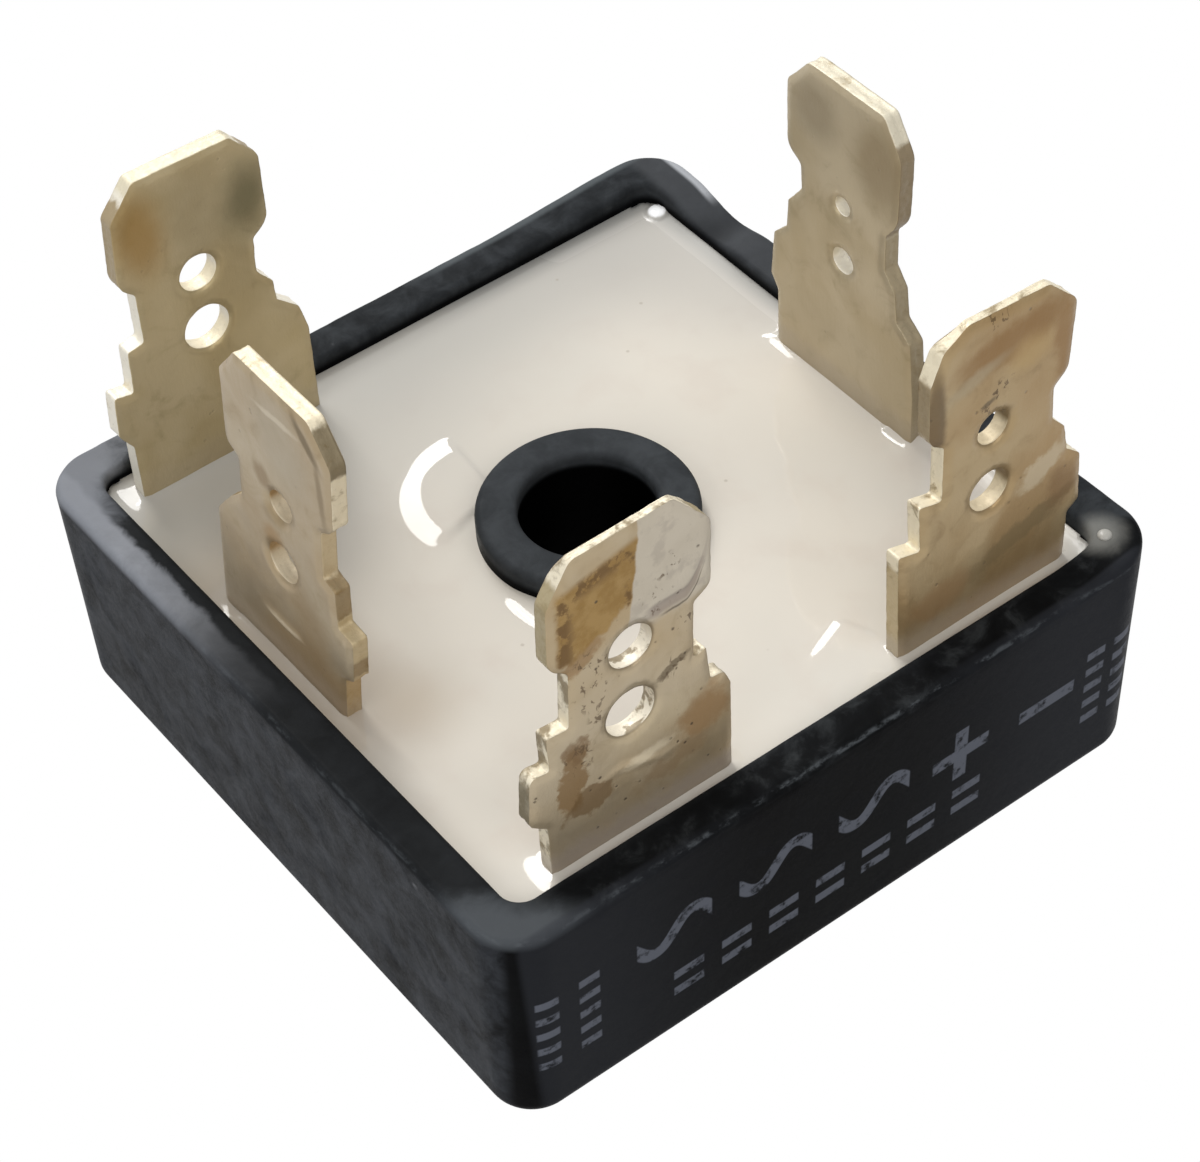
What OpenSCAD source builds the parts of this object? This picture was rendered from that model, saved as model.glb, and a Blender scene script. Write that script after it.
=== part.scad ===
// Three-phase bridge rectifier in an open-topped square case.
// Origin: centre of the underside. +Z up, +X along the front (marked) side.

/* [Case] */
// Side of the square case at its rim
case_side = 29; // [28:0.5:34]
// How far each side leans out from the underside to the rim
case_draft = 0.25; // [0:0.05:0.4]
// Height of the case and of the boss round the screw hole
case_h = 10; // [9:0.5:14]
// Radius of the case's upright outer corners, at the underside
case_corner_r = 1.7; // [1.6:0.1:3]
// Thickness of the case wall at the rim
wall_t = 1.65; // [1.4:0.05:2]
// Radius of the upright corners of the space inside the wall
cavity_r = 0.8; // [0.4:0.1:1.2]
// Thickness of the skirt that surrounds the base plate
skirt_t = 1; // [0.7:0.1:1.1]
// Rounding of the outer bottom edge
bottom_round = 0.7; // [0.2:0.1:0.7]
// Rounding of the outer top edge
rim_round = 0.25; // [0.1:0.05:0.5]
// Length of the worn dip in the rim of the right wall
dip_length = 4.6; // [2:0.2:6]
// Depth of the worn dip
dip_depth = 0.4; // [0.1:0.05:0.6]
// Distance from the rear wall's outer face to the middle of the dip
dip_rear = 5.1; // [4.8:0.05:7]

/* [Screw hole] */
// Diameter of the screw hole, for an M5 screw
hole_d = 5.1; // [4.2:0.1:5.6]
// Outer diameter of the boss round the hole
boss_d = 8.2; // [7.6:0.1:9]
// Thickness of the two webs that carry the boss
web_t = 1.2; // [0.8:0.1:2]
// Height of the webs
web_h = 2.4; // [1.2:0.1:3]
// Depth of the potting over the webs
web_cover = 1; // [0.4:0.1:1.2]
// How deep the webs root in the wall
web_root = 0.2; // [0.1:0.1:0.5]

/* [Base plate and ceramic] */
// Thickness of the metal base plate
plate_t = 1.6; // [1:0.1:2]
// Clearance round the base plate, at the skirt and at the boss
plate_gap = 0.1; // [0.05:0.05:0.3]
// Distance from the wall to the ceramic
ceramic_gap = 0.55; // [0.3:0.05:0.8]
// Distance from the boss to the ceramic
ceramic_boss_gap = 0.6; // [0.3:0.05:0.7]
// Thickness of the ceramic
ceramic_t = 0.8; // [0.4:0.1:1.2]

/* [Copper tracks] */
// Thickness of the copper tracks
track_t = 0.3; // [0.15:0.05:0.5]
// Gap between one track and the next
track_gap = 0.3; // [0.2:0.05:0.5]
// Distance from the ceramic's edges to the copper
track_edge = 0.3; // [0.2:0.05:0.4]
// Width of the ring that collects the negative side
ring_w = 1.6; // [1.2:0.1:1.8]
// Length of the ring past the outermost clips
ring_end = 0.3; // [0.1:0.05:0.6]
// Margin of a track past the terminal foot that stands on it
track_lip = 0.25; // [0.1:0.05:0.3]

/* [Diode dice] */
// Thickness of each die with its solder
die_t = 0.4; // [0.2:0.05:0.6]
// Distance from the inner edge of the copper under a die to the die
die_inset = 1.4; // [1.2:0.05:1.6]
// Distance from the die to the outer edge of the copper
die_outset = 0.5; // [0.3:0.05:0.7]
// Distance from the side edge of the copper to the dice in the corners
die_edge = 0.9; // [0.7:0.05:1]
// Distance from the foot of the first terminal to the die beside it
die_foot_gap = 0.7; // [0.5:0.05:0.8]

/* [Clips and positive bar] */
// Margin of a die on each side of its clip or leg
clip_edge = 0.3; // [0.2:0.05:0.9]
// Thickness of the clips' strip
clip_t = 0.25; // [0.15:0.05:0.4]
// Width of the curved bar
bar_w = 2; // [1.4:0.1:2.2]
// Thickness of the curved bar
bar_t = 0.4; // [0.3:0.05:0.5]
// Clear height between the dice and the bar
bar_rise = 1.1; // [0.8:0.1:1.5]
// Distance from the inner edge of the copper to the bar, seen from above
bar_inset = 0.3; // [0.1:0.05:0.5]

/* [Terminals] */
// Height of the terminals above the case rim
term_rise = 13.4; // [11:0.2:16]
// Thickness of the terminal strip
term_t = 0.8; // [0.5:0.1:1]
// Distance from the wall to a terminal's outer face
term_gap = 0.65; // [0.5:0.05:0.9]
// Width of the plug-on head
head_w = 6.3; // [5.2:0.1:6.5]
// Width of the chamfers at the head's top corners
head_cut_w = 1.2; // [0.6:0.1:1.6]
// Height of the chamfers at the head's top corners
head_cut_h = 1.35; // [0.6:0.05:1.8]
// Height of the head
head_h = 5.2; // [4:0.1:5.6]
// Rounding of the head's lower corners
head_round = 0.7; // [0.2:0.1:0.8]
// Width of the neck under the head
neck_w = 4.85; // [4.2:0.05:5]
// Height of the neck
neck_h = 2.3; // [2:0.1:3]
// Width of the upper step
step_w = 6.4; // [5.8:0.1:6.8]
// Height of the upper step
step_h = 1.65; // [1.2:0.05:2]
// Width of the lower step, the widest part of the strip
base_w = 8.1; // [7.4:0.1:8.4]
// Height of the lower step on the side that narrows again
base_step_h = 2.4; // [1.6:0.1:2.6]
// How far that side narrows
base_step_in = 0.5; // [0.2:0.05:0.8]
// How far the steps' outer corners stand up as barbs
barb_h = 0.3; // [0.1:0.05:0.4]
// Diameter of the small hole
small_hole_d = 1.65; // [1.2:0.05:1.8]
// Distance of the small hole from the terminal's top
small_hole_down = 5.6; // [5.2:0.1:5.8]
// Diameter of the larger hole
large_hole_d = 2; // [1.6:0.05:2.2]
// Distance of the larger hole from the terminal's top
large_hole_down = 8.45; // [8.2:0.05:8.8]
// Depth to which the strip keeps its width inside the potting
base_depth = 1.2; // [0.6:0.1:2]
// Width of the leg inside the potting
leg_w = 4.4; // [3.6:0.1:4.6]
// Distance from a foot to the bar's landing
foot_bar_gap = 0.8; // [0.4:0.1:1]
// Distance from a foot to the nearest die's corner
foot_die_gap = 0.4; // [0.3:0.05:0.5]
// Inside radius of the bend above the foot
bend_r = 0.4; // [0.2:0.05:0.6]
// Distance from the left wall to the middle of the front left terminal
ac_1_side = 5.95; // [5.3:0.05:6.1]
// Distance from the right wall to the middle of the front right terminal
ac_2_side = 4.65; // [4.4:0.05:5.3]
// Distance from the left wall to the middle of the rear terminal
ac_3_side = 4.75; // [4.4:0.05:5.3]
// How far the negative terminal, on the left, stands behind the centre line
minus_y = 0.4; // [0:0.1:0.5]
// How far the positive terminal, on the right, stands in front of it
plus_front = 0.5; // [0:0.1:0.7]

/* [Potting] */
// Depth of the potting's surface below the case rim
potting_drop = 0.8; // [0.4:0.1:1.5]

/* [Hidden] */
$fn = 64;

// Case
half = case_side / 2;
under_half = half - case_draft;            // half of the side at the underside
arc_c = under_half - case_corner_r;        // centre of a corner's arc, along X and Y
cavity = half - wall_t;                    // half of the space inside the wall
pocket = under_half - skirt_t;             // half of the plate's pocket
pocket_r = case_corner_r - skirt_t;        // corner radius of the pocket
potting_top = case_h - potting_drop;
web_top = potting_top - web_cover;
web_y = cavity + web_root;                 // half of the length of the webs
dip_r = (dip_length * dip_length / 4 + dip_depth * dip_depth) / (2 * dip_depth);
through = 1;                               // how far cutting tools pass the faces they cut

// Levels inside, from the base plate upwards
ceramic_z = plate_t;
track_z = ceramic_z + ceramic_t;
die_z = track_z + track_t;                 // dice and terminal feet stand on the tracks
clip_z = die_z + die_t;                    // clips and bar lie on the dice
bar_z = clip_z + bar_rise;

// Ceramic and copper, as distances from the centre
ceramic_half = cavity - ceramic_gap;
ceramic_hole_r = boss_d / 2 + ceramic_boss_gap;
copper = ceramic_half - track_edge;        // outer edge of the copper
ring_r = ceramic_hole_r + track_edge;      // inner edge of the negative ring
pad_r = ring_r + ring_w + track_gap;       // inner edge of the alternating-current tracks
bar_r = pad_r + bar_inset;                 // inner edge of the bar
die_side = copper - pad_r - die_inset - die_outset;
die_r = pad_r + die_inset + die_side / 2;  // middle of the dice
clip_half = die_side / 2 - clip_edge;      // half width of clips and of the bar's legs

// Terminals
term_y = cavity - term_gap;                // outer face of a strip
term_h = case_h + term_rise;
foot_half = leg_w / 2 + track_lip;         // half width of the track under a foot
ac_1_x = ac_1_side - cavity;
ac_2_x = cavity - ac_2_side;
ac_3_x = ac_3_side - cavity;
plus_y = -plus_front;

// Sides of the tracks that border the negative and the positive terminal's track
side_1 = minus_y - foot_half - track_gap;
side_2 = plus_y - foot_half - track_gap;
side_3 = minus_y + foot_half + track_gap;

// Angles of the dice round the boss: the low and the high die of each input
die_in = die_edge + die_side / 2;
front_a = asin((-ac_1_x - leg_w / 2 - die_foot_gap - die_side / 2) / die_r);
low_angles = [180 - asin((side_1 - die_in) / die_r), 270 + front_a, 180 - asin((side_3 + die_in) / die_r)];
high_angles = [270 - front_a, 360 + asin((side_2 - die_in) / die_r), 90 + front_a];
ring_from = low_angles[2] - asin((clip_half + ring_end) / ring_r);
ring_to = low_angles[1] + asin((clip_half + ring_end) / ring_r);
bar_from = high_angles[0] - 360 - asin(clip_half / bar_r);
bar_to = high_angles[2] + asin(clip_half / bar_r);

// Feet end clear of the bar's landing and of the dice in the corners
die_far = max(-side_1, -side_2, side_3) + die_in + die_side * sqrt(2) / 2;
foot_end = max(bar_r + bar_t + foot_bar_gap, die_far + foot_die_gap);
foot_reach = term_y - foot_end;

// Terminal outline, as heights above the underside
head_z = term_h - head_h;
step_z = head_z - neck_h;
base_z = step_z - step_h;
narrow_z = base_z - base_step_h;
leg_z = potting_top - base_depth;
lobe_r = min(head_round, (head_w - neck_w) / 2);

// Points along an arc from one angle to another
function arc(cx, cy, r, a, b, n = 8) = [
  for (i = [0:n]) let (t = a + (b - a) * i / n) [cx + r * cos(t), cy + r * sin(t)]
];

// Square with round corners, from circles and squares
module round_square(h, r) {
  square([2 * h - 2 * r, 2 * h], center = true);
  square([2 * h, 2 * h - 2 * r], center = true);
  for (sx = [-1, 1]) {
    for (sy = [-1, 1]) {
      translate([sx * (h - r), sy * (h - r)]) circle(r = r);
    }
  }
}

module round_slab(h, r, z0, z1) {
  translate([0, 0, z0]) linear_extrude(z1 - z0) round_square(h, r);
}

module block(x0, x1, y0, y1, z0, z1) {
  translate([x0, y0, z0]) cube([x1 - x0, y1 - y0, z1 - z0]);
}

// Flat ring sector between two radii and two angles, cut out by a wider fan
module sector(r0, r1, a0, a1) {
  intersection() {
    difference() {
      circle(r = r1);
      circle(r = r0);
    }
    polygon(concat([[0, 0]], arc(0, 0, 2 * r1, a0, a1)));
  }
}

// Section of the case's outside: x is the distance from the corner arc's centre.
// The leaning side runs from the bottom rounding to a tangent on the rim's rounding.
module case_section() {
  rim = [half - arc_c - rim_round, case_h - rim_round];
  foot = [case_corner_r, bottom_round];
  reach = norm(rim - foot);
  lean = atan2(rim[1] - foot[1], rim[0] - foot[0]) - asin(rim_round / reach);
  touch = foot + sqrt(reach * reach - rim_round * rim_round) * [cos(lean), sin(lean)];
  square([case_corner_r - bottom_round, bottom_round]);
  translate([case_corner_r - bottom_round, bottom_round]) circle(r = bottom_round);
  polygon([[0, bottom_round], foot, touch, [0, touch[1]]]);
  translate(rim) circle(r = rim_round);
  square([rim[0], case_h]);
}

// The section runs round the square: a straight side and a corner, four times
module case_block() {
  for (a = [0:90:270]) {
    rotate([0, 0, a]) translate([arc_c, arc_c, 0]) {
      rotate_extrude(angle = 90) case_section();
      rotate([90, 0, 0]) linear_extrude(2 * arc_c) case_section();
    }
  }
  block(-arc_c, arc_c, -arc_c, arc_c, 0, case_h);
}

module case_wall() {
  difference() {
    case_block();
    round_slab(cavity, cavity_r, -through, case_h + through);
    round_slab(pocket, pocket_r, -through, plate_t);
  }
}

// Two webs carry the boss from the front and the rear wall
module webs() {
  block(-web_t / 2, web_t / 2, -web_y, web_y, web_top - web_h, web_top);
}

module case() {
  color([0.13, 0.13, 0.14]) difference() {
    union() {
      case_wall();
      cylinder(d = boss_d, h = case_h);
      webs();
    }
    translate([0, 0, -through]) cylinder(d = hole_d, h = case_h + 2 * through);
    translate([cavity - through, half - dip_rear, case_h + dip_r - dip_depth])
      rotate([0, 90, 0]) cylinder(r = dip_r, h = wall_t + 2 * through, $fn = 128);
  }
}

module base_plate() {
  color([0.72, 0.72, 0.70]) difference() {
    round_slab(pocket - plate_gap, pocket_r - plate_gap, 0, plate_t);
    translate([0, 0, -through]) cylinder(r = boss_d / 2 + plate_gap, h = plate_t + 2 * through);
  }
}

module ceramic() {
  color([0.92, 0.90, 0.86]) difference() {
    block(-ceramic_half, ceramic_half, -ceramic_half, ceramic_half, ceramic_z, track_z);
    translate([0, 0, ceramic_z - through]) cylinder(r = ceramic_hole_r, h = ceramic_t + 2 * through);
  }
}

// An alternating-current track fills a corner of the ceramic outside the ring
module corner_track(x0, x1, y0, y1) {
  color([0.78, 0.45, 0.28]) difference() {
    block(x0, x1, y0, y1, track_z, die_z);
    translate([0, 0, track_z - through]) cylinder(r = pad_r, h = track_t + 2 * through);
  }
}

module track_ac_1() {
  corner_track(-copper, -track_gap / 2, -copper, side_1);
}

module track_ac_2() {
  corner_track(track_gap / 2, copper, -copper, side_2);
}

module track_ac_3() {
  corner_track(-copper, 0, side_3, copper);
}

module track_minus() {
  color([0.78, 0.45, 0.28]) union() {
    translate([0, 0, track_z]) linear_extrude(track_t) sector(ring_r, ring_r + ring_w, ring_from, ring_to);
    block(-copper, -ring_r - ring_w / 2, minus_y - foot_half, minus_y + foot_half, track_z, die_z);
  }
}

module track_plus() {
  color([0.78, 0.45, 0.28])
    block(ring_r, copper, plus_y - foot_half, plus_y + foot_half, track_z, die_z);
}

module die(a) {
  color([0.32, 0.33, 0.36]) rotate([0, 0, a])
    block(die_r - die_side / 2, die_r + die_side / 2, -die_side / 2, die_side / 2, die_z, clip_z);
}

// Clip from a low die's top down to the negative ring
module clip(a) {
  land = ring_r + ring_w / 2;
  color([0.80, 0.50, 0.34]) rotate([0, 0, a]) union() {
    block(land, die_r + clip_half, -clip_half, clip_half, clip_z, clip_z + clip_t);
    block(land, land + clip_t, -clip_half, clip_half, die_z, clip_z + clip_t);
    block(ring_r + clip_t, land + clip_t, -clip_half, clip_half, die_z, die_z + clip_t);
  }
}

// Leg of the bar: a riser with a foot on what lies below
module bar_leg(a, r_foot, z_foot) {
  riser = bar_r + bar_w - bar_t;
  rotate([0, 0, a]) {
    block(riser, riser + bar_t, -clip_half, clip_half, z_foot, bar_z + bar_t / 2);
    block(riser, r_foot, -clip_half, clip_half, z_foot, z_foot + bar_t);
  }
}

module plus_bar() {
  color([0.80, 0.50, 0.34]) union() {
    translate([0, 0, bar_z]) linear_extrude(bar_t) sector(bar_r, bar_r + bar_w, bar_from, bar_to);
    for (a = high_angles) {
      bar_leg(a, die_r + clip_half, clip_z);
    }
    block(bar_r, bar_r + bar_t, plus_y - clip_half, plus_y + clip_half, die_z, bar_z + bar_t / 2);
    block(bar_r - clip_half, bar_r + bar_t, plus_y - clip_half, plus_y + clip_half, die_z, die_z + bar_t);
  }
}

// Half outline of the blank, from the top's middle down one side
function blank_side(narrow) =
  let (foot_x = base_w / 2 - (narrow ? base_step_in : 0))
  concat(
    [[0, term_h], [head_w / 2 - head_cut_w, term_h], [head_w / 2, term_h - head_cut_h]],
    arc(head_w / 2 - lobe_r, head_z + lobe_r, lobe_r, 0, -90),
    [[neck_w / 2, head_z], [neck_w / 2, step_z], [step_w / 2, step_z + barb_h]],
    [[step_w / 2, base_z], [base_w / 2, base_z + barb_h]],
    narrow ? [[base_w / 2, narrow_z], [foot_x, narrow_z - base_step_in / 2]] : [],
    [[foot_x, leg_z], [0, leg_z]]
  );

module blank() {
  polygon(blank_side(false));
  mirror([1, 0]) polygon(blank_side(true));
}

// Leg and foot seen from the side: x is the distance from the strip's outer face
module leg_profile() {
  outer_r = bend_r + term_t;
  translate([0, die_z + outer_r]) square([term_t, leg_z - die_z - outer_r]);
  translate([outer_r, die_z]) square([foot_reach - outer_r, term_t]);
  intersection() {
    translate([outer_r, die_z + outer_r]) difference() {
      circle(r = outer_r);
      circle(r = bend_r);
    }
    translate([0, die_z]) square([outer_r, outer_r]);
  }
}

// Hole through the strip, at a distance below its top
module strip_hole(d, down) {
  translate([0, through, term_h - down])
    rotate([90, 0, 0]) cylinder(d = d, h = term_t + 2 * through);
}

// A terminal whose strip stands at +Y and narrows on the -X side
module terminal() {
  color([0.72, 0.66, 0.54]) translate([0, term_y, 0]) union() {
    difference() {
      rotate([90, 0, 0]) linear_extrude(term_t) blank();
      strip_hole(small_hole_d, small_hole_down);
      strip_hole(large_hole_d, large_hole_down);
    }
    translate([leg_w / 2, 0, 0]) rotate([90, 0, -90]) linear_extrude(leg_w) leg_profile();
  }
}

module terminal_ac_1() {
  translate([ac_1_x, 0, 0]) mirror([0, 1, 0]) terminal();
}

module terminal_ac_2() {
  translate([ac_2_x, 0, 0]) rotate([0, 0, 180]) terminal();
}

module terminal_ac_3() {
  translate([ac_3_x, 0, 0]) terminal();
}

module terminal_minus() {
  translate([0, minus_y, 0]) rotate([0, 0, 90]) terminal();
}

module terminal_plus() {
  translate([0, plus_y, 0]) rotate([0, 0, -90]) terminal();
}

// Cast resin that fills the case round all the pieces inside
module potting() {
  color([0.84, 0.82, 0.78]) difference() {
    round_slab(cavity, cavity_r, plate_t, potting_top);
    cylinder(d = boss_d, h = case_h);
    webs();
    ceramic();
    track_ac_1();
    track_ac_2();
    track_ac_3();
    track_minus();
    track_plus();
    for (a = concat(low_angles, high_angles)) {
      die(a);
    }
    for (a = low_angles) {
      clip(a);
    }
    plus_bar();
    terminal_ac_1();
    terminal_ac_2();
    terminal_ac_3();
    terminal_minus();
    terminal_plus();
  }
}

case();
base_plate();
ceramic();
potting();
track_ac_1();
track_ac_2();
track_ac_3();
track_minus();
track_plus();
die(low_angles[0]);  // die_low_1
die(low_angles[1]);  // die_low_2
die(low_angles[2]);  // die_low_3
die(high_angles[0]);  // die_high_1
die(high_angles[1]);  // die_high_2
die(high_angles[2]);  // die_high_3
clip(low_angles[0]);  // clip_1
clip(low_angles[1]);  // clip_2
clip(low_angles[2]);  // clip_3
plus_bar();
terminal_ac_1();
terminal_ac_2();
terminal_ac_3();
terminal_minus();
terminal_plus();
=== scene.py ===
import math
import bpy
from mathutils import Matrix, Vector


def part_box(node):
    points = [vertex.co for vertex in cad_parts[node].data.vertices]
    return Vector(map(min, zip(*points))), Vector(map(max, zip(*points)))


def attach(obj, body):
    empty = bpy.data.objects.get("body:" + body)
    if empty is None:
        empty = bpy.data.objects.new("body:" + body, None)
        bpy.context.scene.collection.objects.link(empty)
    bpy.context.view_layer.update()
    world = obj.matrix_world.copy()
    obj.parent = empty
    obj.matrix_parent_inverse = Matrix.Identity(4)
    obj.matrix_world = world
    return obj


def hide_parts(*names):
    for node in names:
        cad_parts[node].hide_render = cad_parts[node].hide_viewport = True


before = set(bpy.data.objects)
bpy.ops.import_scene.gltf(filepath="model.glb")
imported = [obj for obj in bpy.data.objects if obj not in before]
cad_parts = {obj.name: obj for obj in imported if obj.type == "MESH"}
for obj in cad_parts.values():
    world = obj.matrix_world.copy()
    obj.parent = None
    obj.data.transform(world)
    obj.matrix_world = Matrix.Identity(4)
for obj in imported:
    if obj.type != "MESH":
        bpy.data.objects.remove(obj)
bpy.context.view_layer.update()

from types import SimpleNamespace

import bmesh
import bpy
import numpy as np
from mathutils import Matrix, Vector, geometry, noise

# Sizes below are millimetres in the CAD frame; meshes are scaled to metres when they are made.
MM = 0.001
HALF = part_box("case")[1].x / MM       # half of the case's side, at the rim
CASE_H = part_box("case")[1].z / MM
DRAFT = 0.25                          # how far each side leans out from the underside to the rim
CORNER_R = 1.7                        # the upright corners' radius, at the underside
BOTTOM_R = 0.7                        # round edge along the underside
RIM_R, LIP_R = 0.34, 0.24             # round edges outside and inside along the rim
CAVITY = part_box("potting")[1].x / MM  # half of the space inside the wall
CAVITY_R = 0.8
POCKET = CAVITY + 0.4                 # half of the base plate's pocket
PLATE_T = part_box("base_plate")[1].z / MM
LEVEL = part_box("potting")[1].z / MM   # the potting's surface
TERM_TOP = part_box("terminal_ac_1")[1].z / MM
TERM_OUT = -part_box("terminal_ac_1")[0].y / MM
FOOT_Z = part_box("terminal_ac_1")[0].z / MM
FOOT_END = -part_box("terminal_ac_1")[1].y / MM
HOLE_R, BOSS_R = 2.55, 4.1
BOSS_TOP = CASE_H + 0.28              # the boss stands a little above the rim
WEB_HALF, WEB_LOW, WEB_HIGH = 0.6, 5.8, 8.2
STRIP = 0.8                           # thickness of the terminals
STRIP_LOW = 8.0                       # where the flat strips begin, just under the potting's surface
BEAD = (12.55, 11.95, 0.4)            # round bead in the potting at the rear corner: x, y, radius
RIM_BEAD = (12.98, -12.98, 0.27)      # drop of resin on the rim's right corner


def middle(node, axis):
    a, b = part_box(node)
    return (a[axis] + b[axis]) / 2 / MM


def wave(x, y, z, size, seed=0):
    """Smooth noise from -1 to 1 with features of the given size."""
    return noise.noise(Vector((x / size + 17.3 * seed, y / size - 9.1 * seed, z / size + 4.7 * seed)))


def ramp(x, a, b):
    """0 below a, 1 above b, smooth between."""
    t = np.clip((np.asarray(x, float) - a) / (b - a), 0, 1)
    return t * t * (3 - 2 * t)


def add_mesh(name, verts, faces, node, material):
    mesh = bpy.data.meshes.new(name)
    mesh.from_pydata([Vector(v) * MM for v in verts], [], faces)
    mesh.validate()
    mesh.polygons.foreach_set("use_smooth", [True] * len(mesh.polygons))
    mesh.update()
    piece = bpy.data.objects.new(name, mesh)
    bpy.context.scene.collection.objects.link(piece)
    piece.data.materials.append(material)
    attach(piece, "root")
    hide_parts(node)
    return piece


def without_loose(verts, faces):
    """The same mesh without the points that no face uses."""
    used = sorted({i for f in faces for i in f})
    new = {old: i for i, old in enumerate(used)}
    return [verts[i] for i in used], [tuple(new[i] for i in f) for f in faces]


def fix_normals(piece):
    bm = bmesh.new()
    bm.from_mesh(piece.data)
    bmesh.ops.recalc_face_normals(bm, faces=bm.faces)
    bm.to_mesh(piece.data)
    bm.free()


# ---------------------------------------------------------------- node helpers


class Tree:
    """Short names for building a material's nodes."""

    def __init__(self, name):
        self.mat = bpy.data.materials.new(name)
        self.mat.use_nodes = True
        self.nt = self.mat.node_tree
        self.bsdf = self.nt.nodes["Principled BSDF"]
        self.place = self.nt.nodes.new("ShaderNodeTexCoord").outputs["Object"]
        self.mm = self.mapped(self.place, scale=(1000, 1000, 1000))

    def new(self, kind, inputs=(), **settings):
        """A node with its settings, and with values or links put on its inputs."""
        n = self.nt.nodes.new(kind)
        for k, v in settings.items():
            setattr(n, k, v)
        for k, v in dict(inputs).items():
            self.put(n.inputs[k], v)
        return n

    def put(self, socket, value):
        if isinstance(value, bpy.types.NodeSocket):
            self.nt.links.new(value, socket)
        else:
            socket.default_value = value

    def math(self, op, *values):
        return self.new("ShaderNodeMath", enumerate(values), operation=op).outputs[0]

    def add(self, a, b):
        return self.math("ADD", a, b)

    def sub(self, a, b):
        return self.math("SUBTRACT", a, b)

    def mul(self, first, *others):
        for other in others:
            first = self.math("MULTIPLY", first, other)
        return first

    def most(self, a, b):
        return self.math("MAXIMUM", a, b)

    def plus(self, x, other, share):
        """x and a share of the other."""
        return self.add(x, self.mul(other, share))

    def length(self, a, b):
        return self.math("SQRT", self.add(self.mul(a, a), self.mul(b, b)))

    def mapped(self, vector, location=(0, 0, 0), scale=(1, 1, 1)):
        inputs = {"Vector": vector, "Location": location, "Scale": scale}
        return self.new("ShaderNodeMapping", inputs).outputs[0]

    def axes(self, vector):
        return tuple(self.new("ShaderNodeSeparateXYZ", {0: vector}).outputs)

    def noise(self, vector, scale, detail=3.0, rough=0.55, warp=0.0):
        inputs = {"Vector": vector, "Scale": scale, "Detail": detail, "Roughness": rough, "Distortion": warp}
        return self.new("ShaderNodeTexNoise", inputs).outputs["Fac"]

    def cells(self, vector, scale):
        return self.new("ShaderNodeTexVoronoi", {"Vector": vector, "Scale": scale}).outputs["Distance"]

    def step(self, x, a, b):
        """0 at a, 1 at b, smooth between; a may be larger than b."""
        inputs = {"Value": x, "From Min": a, "From Max": b}
        n = self.new("ShaderNodeMapRange", inputs, interpolation_type="SMOOTHSTEP", clamp=True)
        return n.outputs["Result"]

    def span(self, x, lo, hi, soft):
        """1 between lo and hi."""
        return self.mul(self.step(x, lo - soft, lo + soft), self.step(x, hi + soft, hi - soft))

    def mix(self, mask, a, b):
        n = self.new("ShaderNodeMix", {0: mask, 6: a, 7: b}, data_type="RGBA", clamp_factor=True)
        return n.outputs[2]

    def tint(self, colour, to, *masks):
        """The colour turned to another as far as all the masks allow together."""
        return self.mix(self.mul(*masks), colour, to)

    def blend(self, mask, a, b):
        """The same as mix, for plain numbers."""
        n = self.new("ShaderNodeMix", {0: mask, 2: a, 3: b}, data_type="FLOAT", clamp_factor=True)
        return n.outputs[0]

    def bump(self, height, strength, distance, below=None):
        n = self.new("ShaderNodeBump", {"Strength": strength, "Distance": distance, "Height": height})
        if below is not None:
            self.put(n.inputs["Normal"], below)
        return n.outputs[0]

    def finish(self, colour, roughness, normal, metallic=0.0, **constants):
        inputs = {"Base Color": colour, "Roughness": roughness, "Normal": normal, "Metallic": metallic}
        inputs.update({k.replace("_", " "): v for k, v in constants.items()})
        for k, v in inputs.items():
            self.put(self.bsdf.inputs[k], v)
        return self.mat


def rgb(r, g, b):
    """A colour given as 0 to 255 display values."""
    linear = [((c / 255 + 0.055) / 1.055) ** 2.4 if c > 10 else c / 255 / 12.92 for c in (r, g, b)]
    return (*linear, 1.0)


# ---------------------------------------------------------------- materials


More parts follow.
